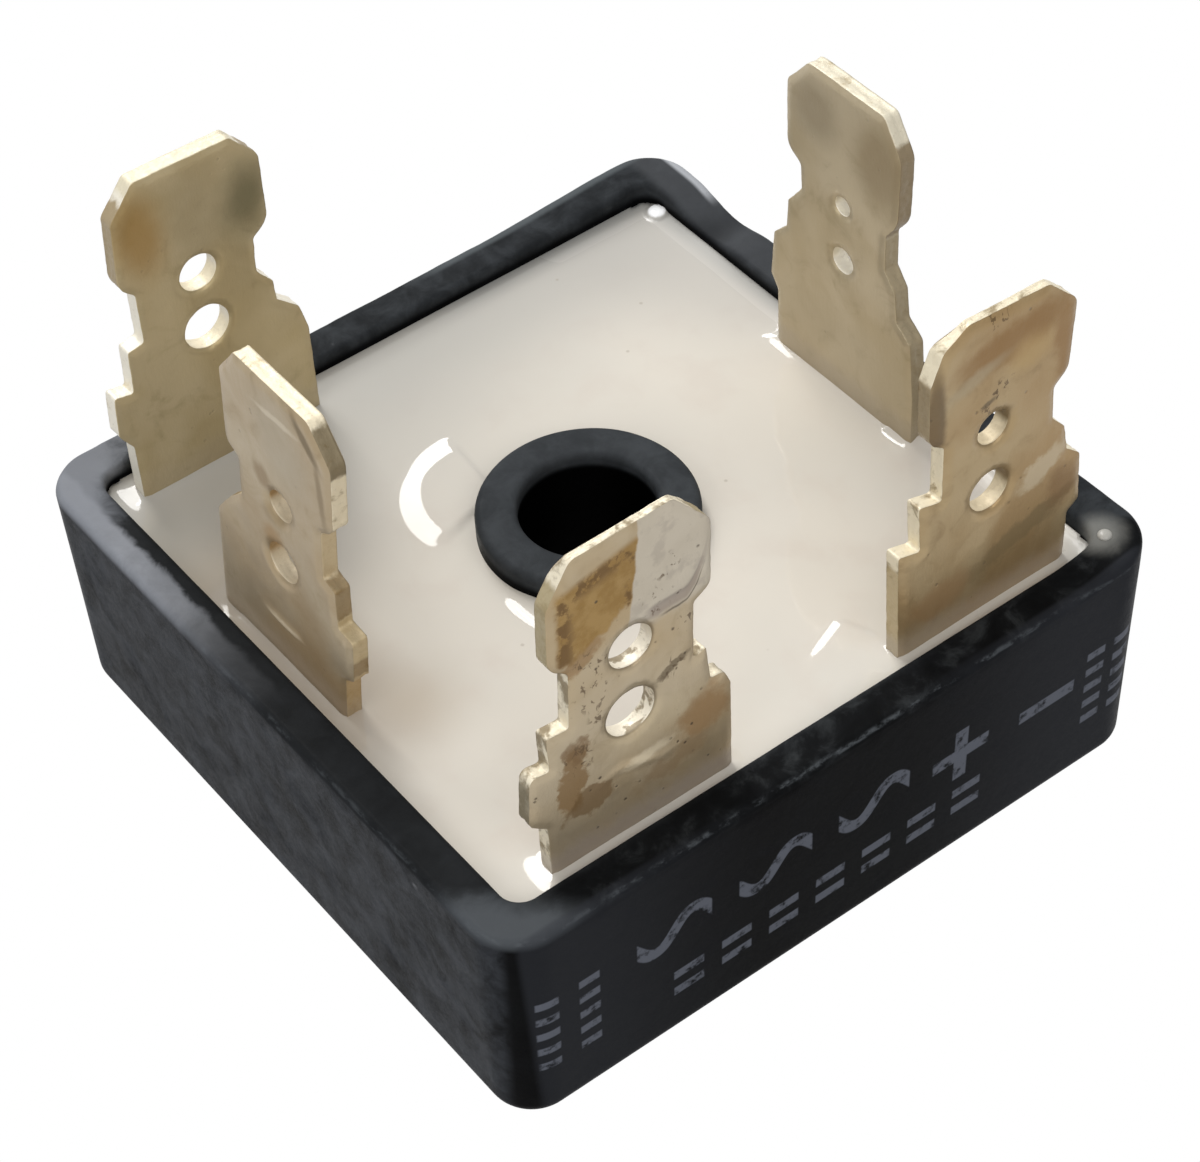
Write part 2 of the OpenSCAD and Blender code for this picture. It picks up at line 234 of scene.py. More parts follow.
def case_plastic():
    t = Tree("case_plastic")
    p = t.mm
    x, y, z = t.axes(p)
    broad = t.noise(p, 0.22, 3.0)
    cloud = t.noise(p, 0.8, 5.0, 0.62, 0.4)
    uneven = t.sub(cloud, 0.5)
    colour = t.mix(t.step(broad, 0.35, 0.7), rgb(6, 6, 7), rgb(10, 11, 12))
    # painted light: the left side is painted a lighter grey, as lit from the left; the front is left dark
    colour = t.tint(colour, rgb(66, 69, 74), t.step(x, -13.9, -14.2), t.step(cloud, 0.2, 0.8), 0.85)
    # the rim and the boss's ring take a painted sheen, with painted shade and painted reflections in it
    colour = t.mix(t.step(z, 9.45, 9.85), colour, rim_painted_sheen(t, x, y, broad, cloud, uneven))
    colour = rim_wear_and_glints(t, colour, x, y, z, uneven)
    # small pale nicks
    nick = t.mul(t.step(t.cells(p, 0.42), 0.08, 0.03), t.step(t.noise(p, 0.9, 2.0), 0.58, 0.66))
    colour = t.tint(colour, rgb(120, 122, 126), nick, 0.5)
    # rubbed film, and paler ends of the front side
    haze = t.step(t.noise(p, 0.5, 5.0, 0.62, 0.4), 0.48, 0.75)
    colour = t.tint(colour, rgb(74, 77, 84), haze, 0.05)
    ends = t.sub(1.0, t.span(x, -8.0, 6.5, 5.0))
    colour = t.tint(colour, rgb(52, 54, 59), ends, t.step(y, -14.0, -14.2), 0.5)
    colour = t.tint(colour, rgb(108, 112, 122), printed_marks(t, x, y, z), 0.8)
    # painted shade: the bore is painted near black, as the shade deep inside it
    colour = t.tint(colour, rgb(3, 3, 3), t.step(t.length(x, y), 2.75, 2.6), t.step(z, 9.9, 9.5))
    fine = t.noise(p, 9.0, 4.0, 0.6)
    rough = t.plus(t.blend(t.step(fine, 0.3, 0.7), 0.32, 0.44), haze, 0.12)
    grain = t.bump(t.noise(p, 22.0, 3.0, 0.6), 0.25, 0.00002)
    grain = t.bump(t.noise(p, 1.6, 3.0, 0.5), 0.2, 0.00006, grain)
    return t.finish(colour, rough, grain, Specular_IOR_Level=0.014)


def rim_painted_sheen(t, x, y, broad, cloud, uneven):
    """Painted sheen on the rim and the boss's ring: grey, with painted shade black along the front, painted
    reflections pale at the left edge and corner, paler also at the front corner.
    """
    tone = t.mix(t.step(cloud, 0.3, 0.75), rgb(34, 36, 38), rgb(56, 59, 62))
    # painted shade: black along the front, where the terminals shade the rim; also darker along the inner
    # left edge
    front = t.mix(t.step(cloud, 0.5, 0.75), rgb(9, 9, 9), rgb(46, 48, 49))
    tone = t.tint(tone, front, t.step(y, -12.5, -13.3), 0.8)
    tone = t.tint(tone, rgb(28, 29, 30), t.step(x, -12.5, -12.9), 0.8)
    # painted reflections: pale blue-grey along the outer left edge and at the left corner
    left = t.mul(t.step(t.plus(x, uneven, 0.8), -13.35, -13.7), t.step(t.plus(y, broad, 6.0), 2.0, 12.0))
    tone = t.tint(tone, rgb(138, 141, 147), left, t.blend(cloud, 0.45, 1.15))
    left_corner = t.step(t.plus(t.sub(y, x), uneven, 3.0), 23.5, 26.0)
    tone = t.tint(tone, rgb(126, 129, 135), left_corner, 0.8)
    front_corner = t.step(t.plus(t.add(x, y), uneven, 2.0), -24.6, -26.4)
    tone = t.tint(tone, rgb(84, 88, 92), front_corner, 0.7)
    tone = t.tint(tone, rgb(76, 78, 81), t.step(x, 12.6, 13.2), t.step(y, 0.0, 5.0), 0.6)
    return t.tint(tone, rgb(84, 88, 92), t.step(t.length(x, y), 6.5, 6.0), 0.2)


def rim_wear_and_glints(t, colour, x, y, z, uneven):
    """Worn outer edge of the rim with a painted highlight along it, painted reflections on the outer edges
    beside the rear corner, and a film of resin over its inner right corner.
    """
    # a thin irregular light line along the outer edge at the front, fainter on the left: partly wear, partly
    # a painted highlight on the rounded edge
    edge = t.mul(t.span(z, 9.80, 9.92, 0.04), t.step(t.math("MINIMUM", y, x), -13.95, -14.15))
    rub_and_glint = t.step(t.noise(t.mapped(t.mm, scale=(0.35, 0.35, 1)), 2.4, 6.0, 0.7), 0.44, 0.60)
    strength = t.blend(t.step(y, -13.9, -14.1), 0.2, 0.5)
    colour = t.tint(colour, rgb(104, 109, 113), edge, rub_and_glint, strength)
    # painted reflections: light outer edges beside the rear corner
    upper = t.step(z, 9.5, 9.7)
    rear_edge_glint = t.mul(t.step(x, 13.95, 14.15), t.span(y, 10.6, 13.9, 0.5))
    colour = t.tint(colour, rgb(178, 181, 186), rear_edge_glint, upper, 0.8)
    soft = t.mul(t.step(y, 13.9, 14.15), t.span(x, 3.0, 13.5, 1.5))
    colour = t.tint(colour, rgb(96, 102, 105), soft, upper, 0.6)
    away = t.length(t.sub(x, 12.9), t.add(y, 12.8))
    smear = t.step(t.plus(away, uneven, 0.8), 1.25, 0.35)
    return t.tint(colour, rgb(128, 128, 124), smear, upper, 0.7)


def printed_marks(t, x, y, z):
    """Mask of generic marks in worn ink on the front side: circuit signs of the terminals and plain bars."""
    soft = 0.04

    def bar(cx, cz, w, h):
        u, v = t.sub(x, cx), t.sub(z, cz)
        return t.mul(t.span(u, -w / 2, w / 2, soft), t.span(v, -h / 2, h / 2, soft))

    def alternating(cx, cz, w, h, thick):
        """The wavy sign for alternating current."""
        u = t.sub(x, cx)
        k = 2 * math.pi / w
        turn = t.mul(u, k)
        rise = t.mul(t.math("SINE", turn), h)
        slope = t.mul(t.math("COSINE", turn), h * k)
        d = t.math("DIVIDE", t.math("ABSOLUTE", t.sub(t.sub(z, cz), rise)), t.length(slope, 1.0))
        return t.mul(t.step(d, thick / 2 + soft, thick / 2 - soft), t.span(u, -w / 2, w / 2, soft))

    marks = [alternating(cx, 6.0, 3.2, 0.62, 0.55) for cx in (-7.6, -3.2, 1.2)]
    marks += [bar(5.2, 5.55, 2.6, 0.6), bar(5.2, 5.55, 0.6, 2.6), bar(9.3, 5.3, 2.6, 0.6)]
    marks += [bar(-7.0 + 2.1 * i, cz, 1.3, 0.42) for i in range(7) for cz in (2.5, 3.4)]
    marks += [bar(cx, 2.9 + 0.85 * i, 0.85, 0.38) for cx in (-12.9, -11.2, 11.6, 12.9) for i in range(5)]
    ink = marks[0]
    for mark in marks[1:]:
        ink = t.most(ink, mark)
    worn = t.step(t.noise(t.mm, 2.2, 4.0, 0.65), 0.30, 0.52)
    return t.mul(ink, worn, t.step(y, -14.1, -14.2))


def potting_resin():
    t = Tree("potting_resin")
    p = t.mm
    x, y, _ = t.axes(p)
    broad = t.noise(p, 0.10, 2.0)
    cloud = t.noise(p, 0.45, 4.0, 0.55, 0.3)
    colour = t.mix(t.step(broad, 0.35, 0.65), rgb(215, 209, 198), rgb(210, 205, 195))
    colour = t.tint(colour, rgb(205, 195, 184), t.step(cloud, 0.45, 0.75), 0.35)
    # greyer towards the rear; warmer and darker beside the terminals on the left, as painted shade cast by
    # the minus terminal with its warm reflection
    colour = t.tint(colour, rgb(168, 166, 160), t.step(t.plus(y, x, -0.35), 3.0, 12.0), 0.8)
    colour = t.tint(colour, rgb(174, 162, 146), t.step(x, -8.4, -10.6), t.span(y, -4.5, 8.0, 2.0), 0.6)
    colour = t.tint(colour, rgb(166, 152, 132), t.span(x, -10.4, -8.4, 1.6), t.span(y, -4.2, -1.6, 1.6), 0.5)
    across = t.add(x, y)
    colour = t.tint(colour, rgb(178, 175, 169), t.step(across, 11.0, 22.0), 0.7)
    # painted shade and the wall's dark reflection: grey along the wall at the rear corner and at the right
    # corner
    rear = t.mul(t.most(t.step(x, 11.8, 13.0), t.step(y, 11.8, 13.0)), t.step(across, 13.0, 18.0))
    right = t.mul(t.step(x, 11.2, 13.0), t.step(y, -11.0, -12.6))
    colour = t.tint(colour, rgb(134, 135, 132), t.most(rear, right), 0.7)
    # the bead is painted white as its highlight, with painted shade round its outline
    bx, by, r = BEAD
    d = t.length(t.sub(x, bx), t.sub(y, by))
    colour = t.tint(colour, rgb(140, 138, 134), t.span(d, r, r * 1.3, 0.06), 0.45)
    colour = t.tint(colour, rgb(244, 245, 246), t.step(d, r, r - 0.1))
    speck = t.mul(t.step(t.cells(p, 0.7), 0.07, 0.03), t.step(t.noise(p, 0.6, 1.0), 0.60, 0.66))
    colour = t.tint(colour, rgb(150, 138, 122), speck, 0.4)
    # duller where the resin climbs the right wall and the walls beside it
    reach = t.most(x, t.mul(t.step(x, 4.0, 8.0), t.math("ABSOLUTE", y)))
    rough = t.blend(t.step(cloud, 0.3, 0.8), 0.05, 0.10)
    rough = t.plus(rough, t.step(reach, CAVITY - 1.1, CAVITY - 0.5), 0.4)
    wavy = t.bump(t.noise(p, 0.3, 2.0), 0.1, 0.00012)
    return t.finish(colour, rough, wavy, Specular_IOR_Level=0.5, Coat_Weight=0.3, Coat_Roughness=0.03)


def strip_axes(t, node):
    """Sockets for the distance across the strip from its middle and for the height, in mm."""
    origin, du, _, _ = PLACES[node]
    x, y, z = t.axes(t.mm)
    if du == (1, 0):
        return t.sub(x, origin[0]), z
    return t.sub(origin[1], y), z


def film_mask(t, z, wobble, top):
    """Film of resin that crept up the foot of the strip."""
    return t.step(t.plus(z, wobble, 0.9), LEVEL + top, LEVEL + top - 1.0)


def from_hole(t, u, z, look, hole):
    """Sockets for the distance from a hole's middle and for the height above it."""
    hu, hz, _ = hole
    dz = t.sub(z, hz)
    return t.length(t.sub(u, hu + look.shift + look.lean * (hz - LEVEL)), dz), dz


def stain_mask(t, u, z, wobbles, place, size, turn, soft, ragged):
    """An uneven turned ellipse round a place, 1 inside and fading out over twice the softness."""
    du = t.plus(t.sub(u, place[0]), wobbles[0], ragged)
    dz = t.plus(t.sub(z, place[1]), wobbles[1], ragged)
    c, s = math.cos(turn), math.sin(turn)
    a = t.add(t.mul(du, c / size[0]), t.mul(dz, s / size[0]))
    b = t.add(t.mul(du, -s / size[1]), t.mul(dz, c / size[1]))
    return t.step(t.length(a, b), 1 + soft, max(0.0, 1 - soft))


def terminal_face(node, look):
    """Tarnished tin-plated brass with stains, pits and drawing marks."""
    t = Tree(node + "_face")
    u, z = strip_axes(t, node)
    q = t.mapped(t.mm, location=(13.7 * look.seed, 5.1 * look.seed, 2.3 * look.seed))
    broad = t.noise(q, 0.22, 3.0, 0.5, 0.4)
    cloud = t.noise(q, 0.7, 5.0, 0.6, 0.8)
    fine = t.noise(q, 5.0, 5.0, 0.65)
    starts = ((0, 0, 0), (31.0, 7.0, 3.0))
    wobbles = [t.sub(t.noise(t.mapped(q, location=at), 1.1, 5.0, 0.62), 0.5) for at in starts]
    colour = t.mix(t.step(broad, 0.35, 0.68), look.base, look.warm)
    colour = t.tint(colour, look.dark, t.step(cloud, 0.52, 0.78), 0.5)
    stained = 0.0
    for cu, cz, ru, rz, turn, soft, amount, tint, ragged in look.stains:
        mask = t.mul(stain_mask(t, u, z, wobbles, (cu, cz), (ru, rz), turn, soft, ragged), amount)
        colour = t.mix(mask, colour, tint)
        stained = t.most(stained, mask)
    if look.layer:
        colour, stained = look.layer(t, u, z, wobbles, colour, stained)
    # crumbs of dirt in a few places, pits, dark outlines of the holes
    crumbs = t.step(t.noise(t.mapped(q, scale=(1, 1, 0.7)), 3.4, 4.0, 0.6, 0.5), 0.56, 0.62)
    for cu, cz, r in look.specks:
        d = t.length(t.sub(u, cu), t.sub(z, cz))
        colour = t.tint(colour, rgb(88, 66, 38), t.step(d, r, r * 0.5), crumbs, 0.75)
    pit = t.mul(t.step(t.cells(q, 1.9), 0.16, 0.07), t.step(t.noise(q, 0.8, 2.0), 0.54, 0.64))
    colour = t.tint(colour, rgb(70, 58, 40), pit, look.pits)
    for hole in look.holes:
        d, _ = from_hole(t, u, z, look, hole)
        colour = t.tint(colour, rgb(92, 78, 56), t.step(d, hole[2] + 0.12, hole[2] + 0.02), look.ring)
    film = t.mul(film_mask(t, z, wobbles[0], 1.6), look.film)
    colour = t.mix(film, colour, rgb(150, 138, 126))
    rough = t.blend(stained, t.blend(t.step(cloud, 0.3, 0.75), 0.34, 0.5), 0.55)
    rough = t.blend(film, rough, 0.3)
    metal = t.mul(t.blend(stained, 0.55, 0.3), t.sub(1.0, t.mul(film, 0.8)))
    marks = t.bump(t.noise(t.mapped(q, scale=(1, 1, 0.25)), 7.0, 4.0, 0.6), 0.3, 0.00003)
    marks = t.bump(t.plus(fine, pit, -2.0), 0.35, 0.00003, marks)
    return t.finish(colour, rough, marks, metal)


def terminal_edge(node, look):
    """Sheared edges: pale, rough and less metallic than the faces."""
    t = Tree(node + "_edge")
    u, z = strip_axes(t, node)
    q = t.mapped(t.mm, location=(11.3 * look.seed, 3.1, 7.7))
    patch = t.noise(q, 1.1, 5.0, 0.6, 0.4)
    grain = t.noise(q, 6.0, 5.0, 0.7)
    uneven = t.sub(patch, 0.5)
    start = 0.66 - 0.3 * look.side
    colour = t.tint(look.edge, look.edge_dark, t.step(patch, start, start + 0.14), 0.8)
    height = t.plus(z, uneven, 0.8)
    for low, high, tint in look.bands:
        colour = t.tint(colour, tint, t.span(height, low, high, 0.12), 0.85)
    # painted light and shade: the walls of the holes are painted pale at the bottom to lift the shade inside
    # them, on some strips darker at the top, with a few dark crumbs
    for hole in look.holes:
        r = hole[2]
        d, dz = from_hole(t, u, z, look, hole)
        wall = t.mix(t.step(dz, 0.1 * r, -0.5 * r), look.wall_top, look.wall)
        wall = t.tint(wall, look.edge_dark, t.step(patch, 0.50, 0.58), look.wall_dirt)
        colour = t.mix(t.step(d, r + 0.35, r + 0.2), colour, wall)
    colour = t.tint(colour, rgb(110, 94, 66), t.step(grain, 0.55, 0.75), 0.25)
    film = film_mask(t, z, uneven, 1.4)
    colour = t.tint(colour, rgb(176, 166, 152), film, look.film)
    rough = t.blend(t.step(grain, 0.3, 0.7), 0.42, 0.62)
    return t.finish(colour, rough, t.bump(grain, 0.4, 0.00005), t.blend(film, 0.25, 0.1))


def inner_material(name, light, dark, scale, rough, metallic=0.0, speck=None):
    """Materials of the pieces inside and of the base plate: two tones with a fine grain."""
    t = Tree(name)
    p = t.mm
    tone = t.noise(p, scale, 4.0, 0.6, 0.3)
    colour = t.mix(t.step(tone, 0.35, 0.7), light, dark)
    if speck:
        colour = t.tint(colour, speck, t.step(t.noise(p, scale * 6, 3.0), 0.6, 0.75), 0.5)
    grain = t.bump(t.noise(t.mapped(p, scale=(1, 0.15, 1)), 9.0, 3.0, 0.6), 0.2, 0.00002)
    return t.finish(colour, t.blend(t.step(tone, 0.3, 0.7), rough, rough + 0.12), grain, metallic)


def paint(prefixes, material):
    """Gives the material to each CAD node whose name starts so."""
    for node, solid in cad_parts.items():
        if node.startswith(prefixes):
            solid.data.materials.clear()
            solid.data.materials.append(material)


base_metal = inner_material(
    "base_metal", rgb(176, 174, 168), rgb(150, 147, 140), 0.5, 0.3, 0.95, rgb(120, 110, 96))
alumina = inner_material("ceramic", rgb(236, 232, 222), rgb(224, 219, 208), 0.8, 0.55)
copper = inner_material("copper", rgb(196, 120, 84), rgb(170, 98, 66), 0.7, 0.32, 0.9, rgb(120, 66, 44))
silicon = inner_material("silicon", rgb(70, 74, 84), rgb(52, 55, 64), 1.2, 0.25, 0.4)
paint("base_plate", base_metal)
paint("ceramic", alumina)
paint(("track_", "clip_", "plus_bar"), copper)
paint("die_", silicon)


# ---------------------------------------------------------------- case


def arc_points(cx, cy, r, a, b, n):
    steps = [math.radians(a + (b - a) * i / n) for i in range(n + 1)]
    return [(cx + r * math.cos(w), cy + r * math.sin(w)) for w in steps]


def ring_faces(start, rows, n):
    """Quads between rows of n points each, closed along the rows and from the last row to the first."""
    faces = []
    for j in range(rows):
        below, above = start + j * n, start + (j + 1) % rows * n
        for i in range(n):
            k = (i + 1) % n
            faces.append((below + i, below + k, above + k, above + i))
    return faces


def square_loop(half, r):
    """Points round a square with round corners: (x, y, outward x, outward y), always the same number."""
    c = half - r
    side_steps, corner_steps = 120, 18
    loop = []
    for k in range(4):
        turn = math.pi / 2 * k
        nx, ny = math.cos(turn), math.sin(turn)
        for i in range(side_steps):
            f = 2 * i / side_steps - 1
            loop.append((nx * half - ny * c * f, ny * half + nx * c * f, nx, ny))
        for i in range(corner_steps):
            w = turn + math.pi / 2 * i / corner_steps
            kx, ky = c * (nx - ny), c * (nx + ny)
            loop.append((kx + r * math.cos(w), ky + r * math.sin(w), math.cos(w), math.sin(w)))
    return loop


def dip(y):
    """Depth of the worn dip in the rim of the right wall."""
    return 0.42 * (0.5 + 0.5 * math.cos(math.pi * min(1.0, abs(y - 9.4) / 2.4)))


def lift(x, y):
    """How much higher the rim stands at the right corner and at the rear corner."""
    right = 0.4 * float(ramp(x, 10.5, 14.0)) * float(ramp(-y, 2.0, 12.0))
    rear = 0.28 * float(ramp(x + y, 20.0, 27.0))
    return right + rear


def wall_rows():
    """The wall's section, up the outside and over the rim to the cavity: (half, radius, z)."""
    under = HALF - DRAFT
    rows = [(POCKET, CORNER_R - 1.0, 0.0), (POCKET + 0.15, CORNER_R - 0.85, 0.0)]
    for d, z in arc_points(-BOTTOM_R, BOTTOM_R, BOTTOM_R, -90, 0, 10):
        rows.append((under + d, CORNER_R + d, z))
    count = 26
    for i in range(1, count + 1):
        z = BOTTOM_R + (CASE_H - RIM_R - BOTTOM_R) * i / count
        lean = DRAFT * i / count
        rows.append((under + lean, CORNER_R + lean, z))
    outer_r = CORNER_R + DRAFT
    for d, z in arc_points(-RIM_R, CASE_H - RIM_R, RIM_R, 0, 90, 10)[1:]:
        rows.append((HALF + d, outer_r + d, z))
    flat = HALF - RIM_R - CAVITY - LIP_R
    for i in range(1, 7):
        d = RIM_R + flat * i / 7
        sharper = (outer_r - RIM_R - flat - CAVITY_R - LIP_R) * i / 7
        rows.append((HALF - d, outer_r - d - sharper, CASE_H))
    for d, z in arc_points(LIP_R, CASE_H - LIP_R, LIP_R, 90, 180, 7):
        rows.append((CAVITY + d, CAVITY_R + d, z))
    rows += [(CAVITY, CAVITY_R, z) for z in (9.6, 9.3, 8.6, PLATE_T)]
    rows.append((POCKET, CORNER_R - 1.0, PLATE_T))
    return rows


def wall_points(rows):
    """Points of the walls with the rim's waves, dip, raised corners and worn outer edge."""
    points = []
    for half, r, z in rows:
        rise = float(ramp(z, 9.1, 9.9))
        edge = float(ramp(z, 9.5, 9.75)) if half > HALF - RIM_R - 0.02 else 0.0
        hollow = 0.010 * max(0.0, 1 - abs(z - 5.0) / 5.0)
        for x, y, nx, ny in square_loop(half, r):
            top = z
            if rise:
                top += rise * (0.022 * wave(x, y, 0, 2.4, 1) + 0.010 * wave(x, y, 0, 0.6, 2) - 0.018)
            if nx > 0.5:
                top -= rise * dip(y)
            top = max(0.0, min(top, CASE_H) + rise * lift(x, y))
            push = hollow
            if edge:
                worn = max(0.0, wave(x, y, z, 0.5, 3)) * 0.045 + max(0.0, wave(x, y, z, 2.2, 4) - 0.1) * 0.06
                push += edge * worn * (1.0 if ny < -0.5 else 0.5)
            points.append((x - nx * push, y - ny * push, top))
    return points


def boss_section():
    """The boss's section from the bore over the ring to its outside: (radius, z)."""
    ring = [(HOLE_R, 0.0), (HOLE_R, 2.0), (HOLE_R, 6.0), (HOLE_R, 9.0), (HOLE_R, 9.55)]
    ring += arc_points(HOLE_R + 0.28, BOSS_TOP - 0.28, 0.28, 180, 90, 7)
    ring += [(3.05, BOSS_TOP), (3.3, BOSS_TOP), (3.55, BOSS_TOP)]
    ring += arc_points(BOSS_R - 0.32, BOSS_TOP - 0.32, 0.32, 90, 0, 8)
    return ring + [(BOSS_R, 9.3), (BOSS_R, 8.5), (BOSS_R, 4.0), (BOSS_R, 0.0)]


def boss_points(section, steps):
    points = []
    for i in range(steps):
        w = 2 * math.pi * i / steps
        for r, z in section:
            x, y = r * math.cos(w), r * math.sin(w)
            uneven = 0.02 * wave(x, y, 0, 2.0, 6) - 0.015 if z > 9.3 else 0.0
            points.append((x, y, min(z + uneven, BOSS_TOP)))
    return points


def web_points(side):
    """Corners of the web between the boss and the front or rear wall, under the potting."""
    ys = sorted((side * (BOSS_R - 0.3), side * (CAVITY + 0.2)))
    return [(x, y, z) for x in (-WEB_HALF, WEB_HALF) for y in ys for z in (WEB_LOW, WEB_HIGH)]


def build_case():
    rows = wall_rows()
    verts = wall_points(rows)
    faces = ring_faces(0, len(rows), len(verts) // len(rows))
    section, steps = boss_section(), 128
    faces += ring_faces(len(verts), steps, len(section))
    verts += boss_points(section, steps)
    for side in (-1, 1):
        start = len(verts)
        verts += web_points(side)
        for f in ((0, 1, 3, 2), (4, 6, 7, 5), (0, 4, 5, 1), (2, 3, 7, 6), (0, 2, 6, 4), (1, 5, 7, 3)):
            faces.append(tuple(start + i for i in f))
    fix_normals(add_mesh("case_shell", verts, faces, "case", case_plastic()))


# ---------------------------------------------------------------- terminals

# Each strip in its own place: u runs to the right as the camera sees it, the depth away from the near face.
# node: origin, u's direction, the depth's direction, and 1 or -1 where the foot runs with or against it
X1, X2, X3 = (middle(n, 0) for n in ("terminal_ac_1", "terminal_ac_2", "terminal_ac_3"))
Y4, Y5 = (middle(n, 1) for n in ("terminal_minus", "terminal_plus"))
PLACES = {
    "terminal_ac_1": ((X1, -TERM_OUT), (1, 0), (0, 1), 1),
    "terminal_ac_2": ((X2, -TERM_OUT), (1, 0), (0, 1), 1),
    "terminal_ac_3": ((X3, TERM_OUT - STRIP), (1, 0), (0, 1), -1),
    "terminal_minus": ((-TERM_OUT, Y4), (0, -1), (1, 0), 1),
    "terminal_plus": ((TERM_OUT - STRIP, Y5), (0, -1), (1, 0), -1),
}


def spot(node, u, depth):
    """The point (x, y) so far along and through a strip."""
    origin, du, dt, _ = PLACES[node]
    return tuple(origin[k] + du[k] * u + dt[k] * depth for k in (0, 1))


def rounded(points):
    """Closed polygon with round corners, from (u, z, radius)."""
    out = []
    n = len(points)
    for i in range(n):
        p = Vector(points[i][:2])
        r = points[i][2]
        a = Vector(points[i - 1][:2]) - p
        b = Vector(points[(i + 1) % n][:2]) - p
        if r <= 0:
            out.append(p)
            continue
        la, lb = a.length, b.length
        a.normalize()
        b.normalize()
        half = a.angle(b) / 2
        if half > math.radians(86):
            out.append(p)
            continue
        cut = min(r / math.tan(half), 0.48 * la, 0.48 * lb)
        rr = cut * math.tan(half)
        centre = p + (a + b).normalized() * (rr / math.sin(half))
        s, e = p + a * cut, p + b * cut
        w0 = math.atan2(s.y - centre.y, s.x - centre.x)
        w1 = math.atan2(e.y - centre.y, e.x - centre.x)
        dw = (w1 - w0 + math.pi) % (2 * math.pi) - math.pi
        count = max(2, int(abs(dw) * rr / 0.06))
        for j in range(count + 1):
            w = w0 + dw * j / count
            out.append(Vector((centre.x + rr * math.cos(w), centre.y + rr * math.sin(w))))
    return out


def resample(points, step):
    """The closed polygon again, with points at most step apart and no two closer than a third of it."""
    out = []
    n = len(points)
    for i in range(n):
        a, b = points[i], points[(i + 1) % n]
        count = max(1, int(math.ceil((b - a).length / step)))
        for j in range(count):
            p = a.lerp(b, j / count)
            if not out or (p - out[-1]).length > step / 3:
                out.append(p)
    while (out[0] - out[-1]).length < step / 3:
        out.pop()
    return out


def loop_normals(loop):
    """Normals of a closed clockwise loop, away from its middle."""
    d = np.roll(loop, -1, 0) - np.roll(loop, 1, 0)
    d /= np.maximum(np.linalg.norm(d, axis=1, keepdims=True), 1e-9)
    return np.stack([-d[:, 1], d[:, 0]], 1)


def out_of_metal(loops):
    """Each loop with its normals out of the metal; the first loop is the outline, the others are holes."""
    return [(loop, loop_normals(loop) * (1.0 if k == 0 else -1.0)) for k, loop in enumerate(loops)]


def inside(points, loop):
    x, y = points[:, 0:1], points[:, 1:2]
    a, b = loop, np.roll(loop, -1, 0)
    cross = (a[:, 1] > y) != (b[:, 1] > y)
    with np.errstate(divide="ignore", invalid="ignore"):
        at = a[:, 0] + (y - a[:, 1]) * (b[:, 0] - a[:, 0]) / (b[:, 1] - a[:, 1])
    return (np.sum(cross & (x < at), axis=1) % 2).astype(bool)


def in_metal(points, loops):
    result = inside(points, loops[0])
    for hole in loops[1:]:
        result &= ~inside(points, hole)
    return result


def distance_to(points, loops):
    best = np.full(len(points), 1e9)
    for loop in loops:
        a, b = loop, np.roll(loop, -1, 0)
        ab = b - a
        for i in range(0, len(points), 400):
            p = points[i:i + 400, None, :]
            f = np.clip(np.sum((p - a) * ab, 2) / np.sum(ab * ab, 1), 0, 1)
            d = np.linalg.norm(p - (a + ab * f[..., None]), axis=2).min(1)
            best[i:i + 400] = np.minimum(best[i:i + 400], d)
    return best


def strip_loops(look):
    """The strip's ragged outline and then its ragged holes, as arrays of (u, z)."""
    corners = look.right + [(-u, z, r) for u, z, r in reversed(look.left)]
    loops = [np.array([[p.x, p.y] for p in resample(rounded(corners), 0.1)])]
    for hu, hz, hr in look.holes:
        turns = -2 * math.pi * np.arange(56) / 56
        loops.append(np.stack([hu + hr * np.cos(turns), hz + hr * np.sin(turns)], 1))
    ragged = []
    for loop, normals in out_of_metal(loops):
        coarse = np.array([wave(u, z, look.seed, 0.45, 5) for u, z in loop])
        fine = np.array([wave(u, z, look.seed, 0.2, 8) for u, z in loop])
        ragged.append(loop + normals * (0.016 * coarse + 0.01 * fine)[:, None])
    return ragged


def face_points(loops):
    """Points for the faces besides the loops: rings just inside the outline, and a grid."""
    outline = loops[0]
    cloud = []
    for d, every in ((0.045, 1), (0.1, 2), (0.17, 2)):
        ring = outline - loop_normals(outline) * d
        cloud.append(ring[distance_to(ring, loops) > d * 0.93][::every])
    us = np.arange(-4.8, 4.81, 0.15)
    zs = np.arange(STRIP_LOW, 23.5, 0.15)
    grid = np.array([(u + (0.075 if i % 2 else 0.0), z) for i, z in enumerate(zs) for u in us])
    grid = grid[in_metal(grid, loops)]
    cloud.append(grid[distance_to(grid, loops) > 0.25])
    return np.concatenate(cloud)


def face_triangles(loops):
    """The face's points, its triangles, and for each point of the loops its number among them."""
    edges, start = [], 0
    for loop in loops:
        n = len(loop)
        edges += [(start + i, start + (i + 1) % n) for i in range(n)]
        start += n
    flat = np.concatenate(loops + [face_points(loops)])
    out = geometry.delaunay_2d_cdt([Vector(p) for p in flat], edges, [], 0, 1e-7)
    points = np.array([[v.x, v.y] for v in out[0]])
    centres = np.array([points[list(f)].mean(0) for f in out[2]])
    triangles = [tuple(f) for f, kept in zip(out[2], in_metal(centres, loops)) if kept]
    numbers = {old[0]: new for new, old in enumerate(out[3]) if old}
    return points, triangles, [numbers[i] for i in range(start)]


